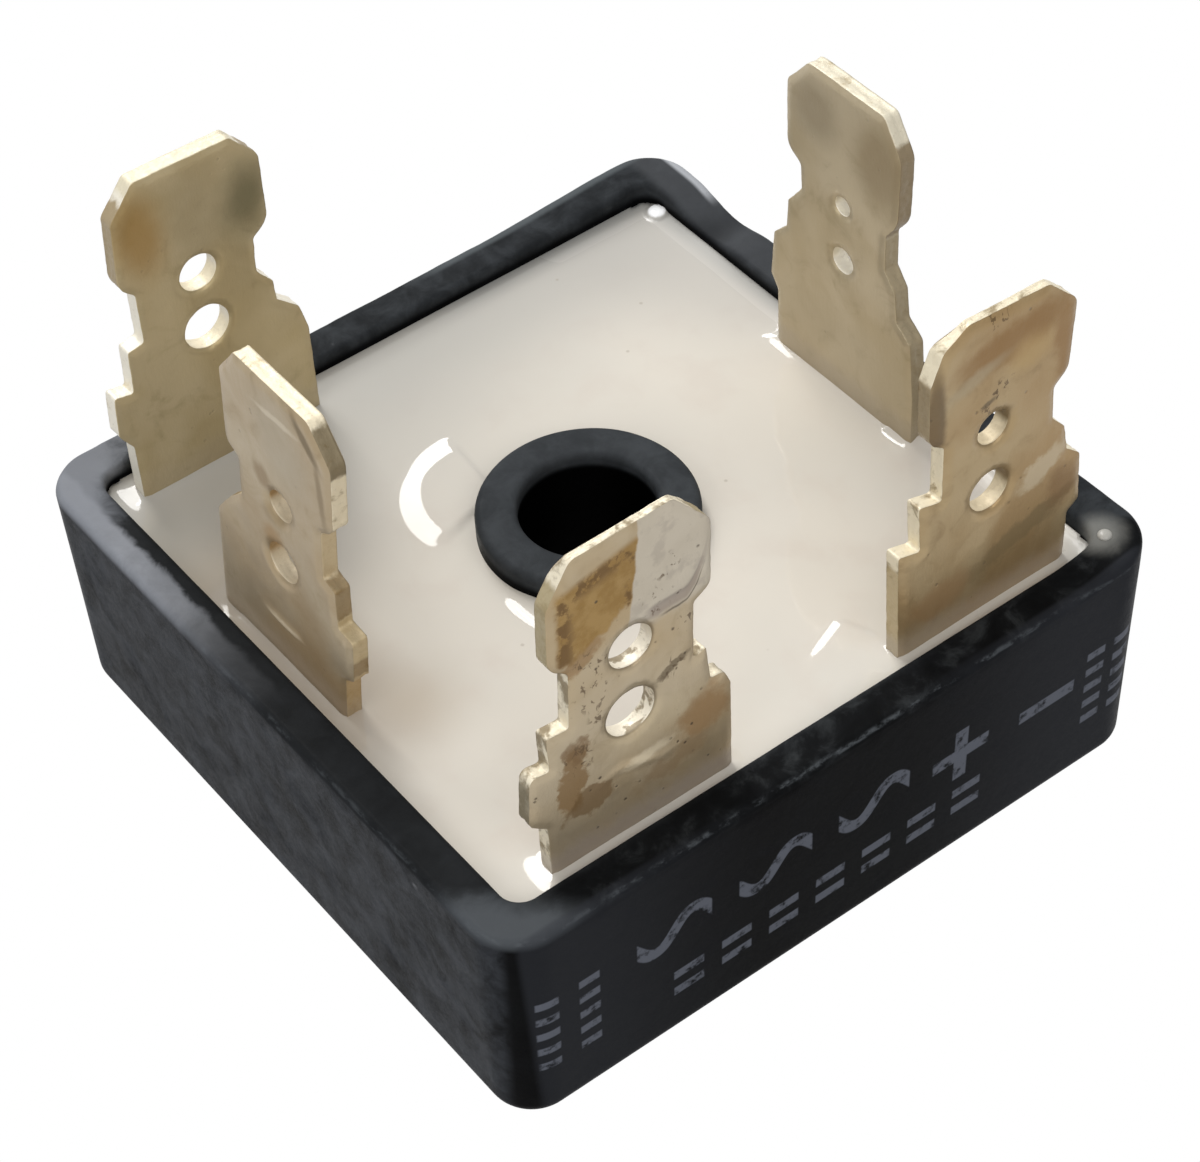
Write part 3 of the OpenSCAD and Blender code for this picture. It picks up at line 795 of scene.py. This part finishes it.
def face_depths(look, points, loops):
    """Depths of the two faces at each point, with dents, waves, rolled edges and the thinned tip."""
    seed = look.seed
    relief = np.array([look.relief(u, z) if look.relief else 0.0 for u, z in points])
    relief += [0.02 * wave(u, z, seed, 2.6, 11) + 0.008 * wave(u, z, seed, 0.9, 12) for u, z in points]
    dist = distance_to(points, loops)
    relief *= ramp(dist, 0.0, 0.5)
    roll_near, roll_far = look.roll
    near = roll_near * (1 - ramp(dist, 0, 0.17 + roll_near)) - relief
    far = STRIP - roll_far * (1 - ramp(dist, 0, 0.12 + roll_far)) - 0.6 * relief
    return near, far - look.tip * ramp(points[:, 1], 22.3, 23.15)


def add_sheared_walls(look, loops, numbers, near, far, placed, verts, faces):
    """Walls through the strip's thickness between its faces: torn, and a little hollow in the middle."""
    rows = 9
    start = 0
    for loop, normals in out_of_metal(loops):
        n = len(loop)
        ids = numbers[start:start + n]
        table = [ids]
        for r in range(1, rows):
            f = r / rows
            for i, (u, z) in enumerate(loop):
                rough = 0.022 * wave(u, z, f * 1.2 + look.seed, 0.33, 21)
                rough += 0.016 * wave(u, z, f * 2.0, 0.16, 22)
                burst = float(ramp(f, 0.35, 0.6)) * (0.02 + 0.02 * wave(u, z, look.seed, 0.8, 23))
                bulge = (rough - burst) * math.sin(math.pi * f) ** 0.5
                depth = near[ids[i]] + (far[ids[i]] - near[ids[i]]) * f
                verts.append(placed(u + normals[i][0] * bulge, depth, z + normals[i][1] * bulge))
            table.append(range(len(verts) - n, len(verts)))
        table.append([len(near) + i for i in ids])
        for below, above in zip(table, table[1:]):
            for i in range(n):
                j = (i + 1) % n
                faces.append((below[i], below[j], above[j], above[i]))
        start += n


def add_leg(node, verts, faces):
    """The strip's leg and its bent foot inside the potting."""
    bend, half = 0.4, 2.2
    bend_at = (STRIP + bend, FOOT_Z + STRIP + bend)
    reach = TERM_OUT - FOOT_END
    top = STRIP_LOW + 0.05
    section = [(0.0, top)] + arc_points(*bend_at, bend + STRIP, 180, 270, 6)
    section += [(reach, FOOT_Z), (reach, FOOT_Z + STRIP)]
    section += arc_points(*bend_at, bend, 180, 270, 6)[::-1] + [(STRIP, top)]
    start, m = len(verts), len(section)
    for u in (-half, half):
        for depth, z in section:
            d = depth if PLACES[node][3] > 0 else STRIP - depth
            verts.append((*spot(node, u, d), z))
    faces.append(tuple(start + i for i in range(m)))
    faces.append(tuple(start + m + i for i in reversed(range(m))))
    for i in range(m):
        j = (i + 1) % m
        faces.append((start + i, start + m + i, start + m + j, start + j))


def build_terminal(node, look):
    def placed(u, depth, z):
        u += look.shift + look.lean * max(0.0, z - LEVEL)
        return (*spot(node, u, depth), min(z, TERM_TOP))

    loops = strip_loops(look)
    points, triangles, numbers = face_triangles(loops)
    near, far = face_depths(look, points, loops)
    verts = [placed(u, depth, z) for depths in (near, far) for depth, (u, z) in zip(depths, points)]
    faces = triangles + [tuple(len(points) + i for i in reversed(f)) for f in triangles]
    first_wall = len(faces)
    add_sheared_walls(look, loops, numbers, near, far, placed, verts, faces)
    after_walls = len(faces)
    add_leg(node, verts, faces)
    verts, faces = without_loose(verts, faces)
    piece = add_mesh(node + "_strip", verts, faces, node, terminal_face(node, look))
    piece.data.materials.append(terminal_edge(node, look))
    for polygon in piece.data.polygons[first_wall:after_walls]:
        polygon.material_index = 1
    fix_normals(piece)


# ---------------------------------------------------------------- looks of the strips


def ochre_silver_and_groove_shade(t, u, z, wobbles, colour, stained):
    """An ochre stain on the left of the head, cut off sharply, with a silvery right part beside it, and
    painted shade along the groove on the right of the neck.
    """
    wobble, other = wobbles
    edge = t.plus(t.plus(u, wobble, 0.35), t.sub(z, 21.0), -0.12)
    low = t.plus(t.plus(z, other, 1.8), u, -0.62)
    slanted = t.plus(z, u, -0.22)
    silver = t.mul(t.step(edge, -0.14, -0.02), t.step(t.plus(z, other, 0.9), 18.2, 18.9))
    mottled = t.mix(t.step(wobble, 0.0, 0.14), rgb(198, 188, 170), rgb(184, 174, 158))
    colour = t.tint(colour, mottled, silver, 0.95)
    ochre = t.mul(t.step(edge, -0.02, -0.14), t.step(low, 19.95, 20.35), t.step(slanted, 22.75, 22.35))
    ochre = t.mul(ochre, t.step(t.plus(z, wobble, 1.5), 18.6, 19.1))
    ochre = t.mul(ochre, t.step(t.plus(u, wobble, 0.5), -3.25, -2.95))
    brown = t.mix(t.step(other, -0.1, 0.1), rgb(152, 116, 50), rgb(170, 136, 76))
    colour = t.tint(colour, brown, ochre, 0.92)
    rim = t.most(t.most(t.step(edge, -0.55, -0.2), t.step(slanted, 21.55, 22.2)), t.step(u, -2.2, -2.8))
    rim = t.mul(rim, t.step(t.add(wobble, other), -0.05, 0.06))
    colour = t.tint(colour, rgb(100, 68, 20), ochre, rim, 0.8)
    # painted shade: a darker band along the curved groove on the right of the neck, and a thin dark line at
    # its lower edge
    arc = t.most(t.sub(u, 1.8), 0.0)
    groove = t.plus(t.plus(z, t.mul(arc, arc), -1.6), wobble, 0.2)
    shade = t.mul(t.span(groove, 18.65, 19.15, 0.1), t.span(u, 0.4, 2.65, 0.3))
    line = t.mul(t.span(groove, 18.52, 18.60, 0.04), t.span(u, 1.0, 2.6, 0.3))
    colour = t.tint(colour, rgb(148, 134, 122), shade, 0.75)
    colour = t.tint(colour, rgb(84, 74, 60), line, 0.8)
    return colour, t.most(t.mul(stained, t.sub(1.0, silver)), t.mul(ochre, 0.8))


def ridge_and_groove(u, z):
    """A raised line under the lower hole and a groove that bends up on the right of the neck."""
    ridge = math.exp(-((z - 12.25 - 0.3 * math.cos(1.6 * (u + 1.0))) / 0.14) ** 2)
    ridge *= math.exp(-((u + 0.2) / 1.2) ** 2)
    groove = math.exp(-((z - 18.9 - 1.6 * max(0.0, u - 1.8) ** 2) / 0.22) ** 2)
    return 0.07 * ridge - 0.06 * groove * float(ramp(u, 0.2, 0.9)) * float(ramp(-u, -2.9, -2.4))


def pressed_ridge(u, z):
    """A raised line under the lower hole."""
    return 0.07 * math.exp(-((z - 11.4) / 0.16) ** 2) * math.exp(-((u + 0.1) / 1.1) ** 4)


def strip_look(**own):
    """What sets one strip apart; what isn't named has the plain value."""
    plain = dict(lean=0.0, shift=0.0, tip=0.0, ring=0.0, wall_dirt=0.0)
    plain.update(layer=None, relief=None, specks=(), bands=())
    return SimpleNamespace(**{**plain, **own})


# right and left: the outline's corners as distance from the middle, height and radius; holes: u, z, radius;
# bands: lower and upper height, colour; specks: u, z, radius;
# stains: u, z, half width, half height, turn, softness, amount, colour, raggedness
AC_1 = strip_look(
    seed=1, layer=ochre_silver_and_groove_shade, tip=0.28, roll=(0.08, 0.16),
    right=[(1.6, 23.2, 0.3), (3.02, 21.45, 0.5), (2.95, 18.6, 0.5), (2.25, 18.15, 0.25),
           (2.17, 15.55, 0.15), (2.7, 15.75, 0.05), (2.85, 14.15, 0.08), (3.4, 14.1, 0.3),
           (3.68, 13.4, 0.3), (3.64, 8, 0)],
    left=[(2.4, 23.1, 0.4), (3.4, 21.5, 0.5), (3.5, 18.9, 0.8), (2.73, 18.3, 0.25), (2.85, 15.8, 0.1),
          (3.75, 15.9, 0.1), (3.7, 14.35, 0.1), (4.5, 14.5, 0.3), (4.65, 12.3, 0.5), (3.95, 11.7, 0.2),
          (3.9, 8, 0)],
    holes=[(-0.3, 17.9, 0.86), (-0.43, 14.9, 0.99)],
    ring=0.45, wall=rgb(240, 232, 214), wall_top=rgb(228, 218, 198), wall_dirt=0.75,
    base=rgb(190, 174, 146), warm=rgb(180, 158, 122), dark=rgb(156, 136, 104), pits=0.8, film=0.8,
    edge=rgb(234, 224, 200), edge_dark=rgb(112, 92, 52), side=0.7,
    bands=((11.7, 14.0, rgb(124, 114, 90)), (18.8, 22.2, rgb(160, 144, 106))),
    stains=[
        (-2.3, 18.6, 0.9, 0.45, 0.5, 0.25, 0.6, rgb(150, 112, 60), 1.8),
        (1.3, 15.95, 0.6, 0.2, 0.4, 0.3, 0.75, rgb(104, 88, 62), 1.2),
        (-2.85, 13.3, 0.6, 1.5, -0.15, 0.2, 0.8, rgb(134, 102, 56), 1.9),
        (-2.3, 11.9, 1.0, 0.55, 0.15, 0.2, 0.75, rgb(112, 84, 44), 1.8),
        (-2.7, 14.6, 0.4, 0.5, 0.4, 0.3, 0.6, rgb(120, 90, 52), 1.5),
        (2.5, 12.9, 1.1, 1.0, 0.5, 0.35, 0.7, rgb(148, 112, 66), 1.9),
        # painted highlight: a pale band along the raised line under the lower hole
        (0.1, 12.5, 0.9, 0.25, 0.1, 0.5, 0.6, rgb(236, 222, 192), 0.8),
        (1.2, 11.4, 1.6, 0.4, 0.2, 0.4, 0.6, rgb(134, 108, 74), 1.5),
        (0.4, 14.0, 1.8, 0.8, 0.0, 0.5, 0.5, rgb(200, 184, 152), 1.2),
    ],
    specks=((-1.9, 18.0, 1.1), (-1.9, 16.8, 0.9), (1.2, 20.6, 0.7), (0.8, 19.3, 0.8), (1.3, 15.9, 0.6),
            (-1.5, 15.6, 0.8), (-2.6, 14.2, 0.9), (1.9, 17.6, 0.6)),
    relief=ridge_and_groove,
)
AC_2 = strip_look(
    seed=2, tip=0.3, roll=(0.12, 0.08),
    right=[(2.05, 22.95, 0.5), (3.38, 21.6, 0.6), (3.22, 18.6, 0.7), (2.6, 18.1, 0.3), (2.65, 16.6, 0.15),
           (3.25, 15.9, 0.15), (3.45, 14.7, 0.1), (4.1, 14.1, 0.2), (4.2, 11.85, 0.15), (3.7, 11.5, 0.15),
           (3.6, 8, 0)],
    left=[(1.5, 23.2, 0.6), (2.5, 22.55, 0.6), (3.0, 21.3, 0.6), (2.95, 18.8, 0.7), (2.3, 18.3, 0.2),
          (2.28, 15.8, 0.12), (3.3, 16.1, 0.08), (3.18, 14.0, 0.1), (4.15, 14.3, 0.08), (4.0, 8, 0)],
    holes=[(-0.12, 17.9, 0.68), (-0.14, 15.0, 0.86)],
    ring=0.35, wall=rgb(222, 208, 178), wall_top=rgb(128, 108, 74), wall_dirt=0.2,
    base=rgb(178, 156, 118), warm=rgb(164, 136, 94), dark=rgb(142, 118, 82), pits=0.35, film=0.5,
    edge=rgb(236, 225, 198), edge_dark=rgb(140, 120, 84), side=0.45,
    bands=((8.0, 13.6, rgb(184, 164, 124)), (18.4, 21.4, rgb(142, 122, 88))),
    stains=[
        (0.6, 21.5, 2.4, 0.8, 0.1, 0.4, 0.7, rgb(142, 104, 52), 1.2),
        (1.3, 20.6, 0.9, 0.7, 0.0, 0.6, 0.6, rgb(190, 160, 108), 0.6),
        (2.9, 20.2, 0.5, 1.7, 0.0, 0.5, 0.6, rgb(146, 108, 60), 1.0),
        (-1.2, 20.7, 1.3, 0.3, 0.3, 0.6, 0.6, rgb(178, 162, 132), 0.5),
        (-2.75, 19.6, 0.35, 2.3, 0.0, 0.4, 0.8, rgb(104, 84, 56), 0.3),
        (-0.5, 19.3, 0.35, 0.12, 0.3, 0.5, 0.7, rgb(96, 82, 60), 0.4),
        (1.4, 12.1, 2.6, 0.5, 0.32, 0.35, 0.7, rgb(118, 100, 66), 1.4),
        (3.2, 13.2, 0.7, 0.9, 0.0, 0.5, 0.6, rgb(126, 94, 56), 1.2),
        (2.2, 14.7, 1.1, 0.5, 0.5, 0.35, 0.7, rgb(206, 190, 160), 1.4),
        (-2.4, 11.2, 1.4, 0.9, 0.2, 0.4, 0.6, rgb(146, 112, 72), 1.4),
        (-0.6, 13.2, 1.2, 0.35, 0.6, 0.4, 0.5, rgb(190, 168, 130), 1.2),
    ],
    specks=((-0.4, 19.3, 0.7), (0.2, 19.7, 0.6), (-0.2, 22.9, 0.7)),
)
AC_3 = strip_look(
    seed=3, roll=(0.08, 0.1),
    right=[(2.05, 23.1, 0.3), (3.1, 21.9, 0.6), (3.1, 18.9, 0.8), (2.42, 18.4, 0.3), (2.35, 16.9, 0.15),
           (2.95, 16.1, 0.15), (3.0, 15.2, 0.1), (3.85, 14.4, 0.25), (4.15, 13.2, 0.3), (4.15, 8, 0)],
    left=[(1.9, 23.2, 0.3), (2.95, 21.9, 0.5), (3.1, 19.1, 0.9), (2.5, 18.5, 0.25), (2.5, 16.3, 0.15),
          (3.2, 16.2, 0.1), (3.25, 14.3, 0.12), (4.05, 14.5, 0.1), (4.15, 12.7, 0.4), (3.65, 11.9, 0.2),
          (3.6, 8, 0)],
    holes=[(0.05, 18.15, 0.76), (0.05, 15.6, 0.93)],
    ring=0.1, wall=rgb(236, 226, 200), wall_top=rgb(232, 226, 212),
    base=rgb(194, 178, 142), warm=rgb(178, 160, 120), dark=rgb(150, 134, 98), pits=0.1, film=0.2,
    edge=rgb(240, 234, 218), edge_dark=rgb(214, 200, 168), side=0.3,
    bands=((18.7, 22.5, rgb(150, 128, 86)), (22.7, 24.0, rgb(222, 212, 184))),
    stains=[
        (-2.0, 20.9, 0.9, 1.7, 0.1, 0.7, 0.75, rgb(158, 122, 58), 0.5),
        (2.3, 20.4, 0.9, 1.4, -0.1, 0.8, 0.8, rgb(98, 92, 62), 0.6),
        (0.2, 20.6, 1.0, 1.9, 0.0, 0.7, 0.4, rgb(158, 146, 120), 0.5),
    ],
)
MINUS = strip_look(
    seed=4, lean=0.124, shift=-1.0, roll=(0.1, 0.1),
    right=[(1.95, 23.4, 0.3), (3.15, 22.0, 0.5), (3.15, 18.9, 0.8), (2.42, 18.4, 0.3), (2.42, 16.0, 0.15),
           (3.1, 15.8, 0.12), (3.2, 14.0, 0.12), (4.05, 13.9, 0.15), (4.05, 11.85, 0.15),
           (3.55, 11.5, 0.15), (3.55, 8, 0)],
    left=[(2.3, 23.4, 0.2), (3.25, 22.0, 0.5), (3.15, 18.5, 0.7), (2.42, 18.2, 0.2), (2.42, 16.3, 0.3),
          (3.2, 15.5, 0.5), (4.05, 14.2, 0.6), (4.05, 8, 0)],
    holes=[(0.05, 17.7, 0.66), (0.0, 14.7, 0.86)],
    wall=rgb(218, 204, 176), wall_top=rgb(176, 144, 98),
    base=rgb(180, 164, 136), warm=rgb(170, 150, 118), dark=rgb(150, 132, 100), pits=0.2, film=0.3,
    edge=rgb(232, 220, 192), edge_dark=rgb(160, 140, 100), side=0.4,
    bands=((21.5, 23.15, rgb(102, 86, 52)), (16.0, 18.3, rgb(196, 176, 138)),
           (14.4, 16.0, rgb(136, 112, 72)), (12.9, 14.4, rgb(188, 168, 128)),
           (11.9, 12.9, rgb(132, 106, 64)), (8.0, 11.9, rgb(168, 138, 88))),
    stains=[
        (0.8, 21.0, 1.3, 1.8, 0.2, 0.6, 0.5, rgb(180, 170, 150), 0.6),
        (1.2, 12.6, 1.0, 1.6, 0.0, 0.6, 0.6, rgb(144, 120, 84), 0.9),
        (0.6, 10.4, 2.8, 1.5, 0.0, 0.5, 0.5, rgb(160, 130, 88), 1.0),
        # painted highlight: a pale line along the pressed ridge
        (-0.75, 11.4, 1.0, 0.15, 0.0, 0.5, 0.8, rgb(222, 206, 176), 0.3),
        (0.8, 22.2, 1.1, 0.14, 0.05, 0.5, 0.7, rgb(212, 200, 176), 0.3),
        (-0.4, 16.9, 0.6, 0.4, 0.0, 0.5, 0.6, rgb(150, 128, 92), 0.8),
        (-0.7, 18.6, 0.45, 0.5, 0.0, 0.5, 0.7, rgb(142, 118, 84), 0.5),
        (-0.55, 15.6, 0.55, 0.7, 0.0, 0.5, 0.7, rgb(160, 126, 78), 0.5),
        (2.5, 22.45, 1.0, 0.22, -0.86, 0.5, 0.8, rgb(112, 94, 60), 0.3),
        (3.0, 20.4, 0.16, 1.5, 0.0, 0.6, 0.6, rgb(126, 106, 72), 0.2),
    ],
    relief=pressed_ridge,
)
PLUS = strip_look(
    seed=5, shift=-0.15, roll=(0.08, 0.1),
    right=[(2.2, 23.35, 0.3), (3.1, 21.9, 0.8), (3.0, 19.0, 1.4), (2.4, 18.2, 0.4), (2.4, 16.6, 0.2),
           (2.95, 15.9, 0.2), (3.1, 14.6, 0.2), (3.85, 14.0, 0.25), (4.05, 11.5, 0.2), (4.05, 8, 0)],
    left=[(1.8, 23.35, 0.5), (2.95, 22.0, 0.6), (2.95, 19.1, 0.7), (2.2, 18.6, 0.3), (2.15, 17.5, 0.2),
          (2.9, 16.5, 0.2), (3.0, 15.2, 0.15), (3.7, 14.5, 0.2), (3.9, 12.4, 0.2), (3.5, 11.8, 0.2),
          (3.5, 8, 0)],
    holes=[(0.1, 18.1, 0.4), (0.15, 15.6, 0.55)],
    wall=rgb(250, 244, 228), wall_top=rgb(232, 222, 198),
    base=rgb(198, 184, 156), warm=rgb(184, 168, 136), dark=rgb(160, 144, 112), pits=0.1, film=0.3,
    edge=rgb(222, 214, 192), edge_dark=rgb(176, 160, 126), side=0.35,
    bands=((18.0, 22.4, rgb(122, 102, 68)), (8.0, 18.0, rgb(150, 134, 102))),
    stains=[
        (1.9, 21.0, 1.3, 1.6, 0.0, 0.6, 0.5, rgb(132, 112, 80), 0.5),
        (-1.5, 21.6, 1.2, 1.2, 0.0, 0.6, 0.5, rgb(124, 108, 80), 0.5),
        (0.0, 11.6, 3.4, 1.4, 0.0, 0.7, 0.4, rgb(182, 168, 140), 0.6),
    ],
)
LOOKS = {
    "terminal_ac_1": AC_1, "terminal_ac_2": AC_2, "terminal_ac_3": AC_3,
    "terminal_minus": MINUS, "terminal_plus": PLUS,
}


# ---------------------------------------------------------------- potting


# (centre x, centre y, radius and width of the flank, slope, azimuths in degrees between which it is full)
MOUNDS = (
    (-1.64, 3.5, 3.1, 0.8, 0.17, 88, 190),
    (13.8, -3.5, 2.4, 0.5, 0.36, 175, 235),
    (4.1, -1.3, 8.65, 0.35, 0.2, 183, 200),
)


def square_distance(x, y, half, r):
    """Distance out of a square with round corners, negative inside it."""
    qx, qy = np.abs(x) - (half - r), np.abs(y) - (half - r)
    out = np.hypot(np.maximum(qx, 0), np.maximum(qy, 0)) - r
    return out + np.minimum(np.maximum(qx, qy), 0)


def flank(d, a, b):
    """1 below a, 0 above b, an even slope between with soft ends."""
    f = (d - a) / (b - a)
    return 1 - (np.logaddexp(0, 12 * f) - np.logaddexp(0, 12 * (f - 1))) / 12


def potting_height(x, y):
    wall = np.maximum(-square_distance(x, y, CAVITY, 0.8), 0)
    boss = np.maximum(np.hypot(x, y) - BOSS_R, 0)
    z = np.full(len(x), LEVEL)
    # the resin climbs the walls, most of all the right one, and a little the boss and the strips
    z += (0.12 + 0.26 * ramp(x, 2.0, 9.0) * (1 - ramp(y, -9.0, -5.0))) * np.exp(-wall / 0.5)
    z += 0.02 * np.exp(-boss / 0.2)
    strip_half = 3.8
    for origin, du, dt, _ in PLACES.values():
        px, py = x - origin[0], y - origin[1]
        u = px * du[0] + py * du[1]
        depth = px * dt[0] + py * dt[1]
        beside, before = np.abs(u) - strip_half, np.abs(depth - STRIP / 2) - STRIP / 2
        z += 0.14 * np.exp(-np.hypot(np.maximum(beside, 0), np.maximum(before, 0)) / 0.4)
    z += np.array([0.02 * wave(a, b, 0, 6.0, 31) + 0.006 * wave(a, b, 0, 2.2, 32) for a, b in zip(x, y)])
    # low mounds whose even flanks carry the bright crescents
    for mx, my, r, width, slope, a, b in MOUNDS:
        d = np.hypot(x - mx, y - my)
        turn = np.degrees(np.arctan2(y - my, x - mx)) % 360
        part = ramp(turn, a - 8, a) * (1 - ramp(turn, b, b + 12))
        z += slope * width * flank(d, r - width / 2, r + width / 2) * part
    # a short ridge near the front
    across = -0.36 * (x - 2.94) + 0.93 * (y + 9.72)
    along = 0.93 * (x - 2.94) + 0.36 * (y + 9.72)
    fade = ramp(along, -2.4, -0.5) * (1 - ramp(along, 0.8, 1.2))
    z += 0.1 * flank(across, -0.2, 0.2) * ramp(across, -2.5, -0.3) * fade
    bead_x, bead_y, bead_r = BEAD
    z += 0.16 * (1 - ramp(np.hypot(x - bead_x, y - bead_y), bead_r * 0.6, bead_r * 1.3))
    return np.minimum(z, CASE_H - 0.03)


def close_potting(piece):
    """Sides and underside of the potting, and the bead of resin on the rim."""
    bm = bmesh.new()
    bm.from_mesh(piece.data)
    made = bmesh.ops.extrude_edge_only(bm, edges=[e for e in bm.edges if e.is_boundary])["geom"]
    for v in made:
        if isinstance(v, bmesh.types.BMVert):
            v.co.z = PLATE_T * MM
    bottom = [e for e in made if isinstance(e, bmesh.types.BMEdge)]
    bmesh.ops.triangle_fill(bm, edges=bottom, use_beauty=True)
    x, y, r = RIM_BEAD
    place = Matrix.Translation(Vector((x, y, CASE_H + lift(x, y) - 0.03)) * MM)
    flat = place @ Matrix.Scale(0.6, 4, (0, 0, 1))
    bmesh.ops.create_uvsphere(bm, u_segments=32, v_segments=16, radius=r * MM, matrix=flat)
    bmesh.ops.recalc_face_normals(bm, faces=bm.faces)
    for f in bm.faces:
        f.smooth = f.normal.z > 0.2
    bm.to_mesh(piece.data)
    bm.free()


def build_potting():
    reach = CAVITY + 0.08
    count = int(2 * reach / 0.14) + 1
    line = np.linspace(-reach, reach, count)
    x, y = (grid.ravel() for grid in np.meshgrid(line, line))
    good = (square_distance(x, y, reach, 0.85) <= 1e-6) & (np.hypot(x, y) > BOSS_R - 0.75)
    faces = []
    for j in range(count - 1):
        for i in range(j * count, (j + 1) * count - 1):
            quad = (i, i + 1, i + 1 + count, i + count)
            if all(good[k] for k in quad):
                faces.append(quad)
    verts, faces = without_loose(list(zip(x, y, potting_height(x, y))), faces)
    close_potting(add_mesh("potting_fill", verts, faces, "potting", potting_resin()))


build_case()
for node, look in LOOKS.items():
    build_terminal(node, look)
build_potting()


# ---------------------------------------------------------------- floor, lights and camera


def link(name, data):
    made = bpy.data.objects.new(name, data)
    bpy.context.scene.collection.objects.link(made)
    return made


def floor_surface():
    """White for the camera and for mirrored rays, a plain grey for the light that the floor throws back."""
    t = Tree("floor_surface")
    path = t.new("ShaderNodeLightPath")
    tone = t.noise(t.mm, 0.02, 2.0)
    t.put(t.bsdf.inputs["Base Color"], t.mix(tone, (0.30, 0.30, 0.31, 1), (0.33, 0.33, 0.34, 1)))
    t.bsdf.inputs["Roughness"].default_value = 0.8
    t.bsdf.inputs["Specular IOR Level"].default_value = 0.1
    glow = t.new("ShaderNodeEmission", {"Color": (1, 1, 1, 1), "Strength": 1.0})
    seen = t.most(path.outputs["Is Camera Ray"], path.outputs["Is Glossy Ray"])
    seen = t.most(seen, path.outputs["Is Transmission Ray"])
    both = t.new("ShaderNodeMixShader", {0: seen, 1: t.bsdf.outputs[0], 2: glow.outputs[0]})
    t.put(t.nt.nodes["Material Output"].inputs["Surface"], both.outputs[0])
    return t.mat


def add_floor():
    mesh = bpy.data.meshes.new("floor")
    bm = bmesh.new()
    bmesh.ops.create_grid(bm, x_segments=1, y_segments=1, size=1.2)
    bm.to_mesh(mesh)
    bm.free()
    mesh.materials.append(floor_surface())
    floor = link("floor", mesh)
    floor.location = (0, 0, -0.00002)


WINDOW, SKY, WARM = (1.0, 0.99, 0.97), (0.97, 0.98, 1.0), (1.0, 0.98, 0.95)
# name: azimuth and elevation in degrees, distance, width and height in metres, power in watts, colour
LAMPS = {
    "window": (93, 62, 0.40, 0.10, 0.14, 0.42, WINDOW),
    "low_window": (80, 45, 0.40, 0.11, 0.22, 0.55, WINDOW),
    "side_window": (66, 31, 0.40, 0.09, 0.09, 0.19, WINDOW),
    "fill_left": (195, 32, 0.45, 0.35, 0.25, 0.6, SKY),
    "fill_front": (262, 42, 0.50, 0.40, 0.25, 0.8, WARM),
}


def add_lamp(name, azimuth, elevation, distance, width, height, power, colour):
    """A rectangular lamp that points at the middle of the part."""
    data = bpy.data.lights.new(name, "AREA")
    data.shape = "RECTANGLE"
    data.size, data.size_y = width, height
    data.energy, data.color = power, colour
    a, e = math.radians(azimuth), math.radians(elevation)
    way = Vector((math.cos(a) * math.cos(e), math.sin(a) * math.cos(e), math.sin(e)))
    lamp = link(name, data)
    lamp.location = Vector((0, 0, 0.01)) + way * distance
    lamp.rotation_euler = way.to_track_quat("Z", "Y").to_euler()


def add_sky():
    world = bpy.data.worlds.new("studio")
    world.use_nodes = True
    background = world.node_tree.nodes["Background"]
    background.inputs["Color"].default_value = (*SKY, 1)
    background.inputs["Strength"].default_value = 0.47
    bpy.context.scene.world = world


def add_camera():
    """The photo's camera, as it was worked out from the part's edges."""
    data = bpy.data.cameras.new("camera")
    data.sensor_fit = "HORIZONTAL"
    data.sensor_width, data.lens = 36.0, 100.98
    data.shift_x, data.shift_y = 0.0179, 0.0183
    data.clip_start, data.clip_end = 0.005, 10.0
    camera = link("camera", data)
    camera.location = Vector((-48.937, -70.031, 95.585)) * MM
    camera.rotation_euler = [math.radians(a) for a in (43.29533, 2.65139, -37.37101)]
    bpy.context.scene.camera = camera


add_floor()
for name, values in LAMPS.items():
    add_lamp(name, *values)
add_sky()
add_camera()
bpy.context.scene.view_settings.view_transform = "Standard"
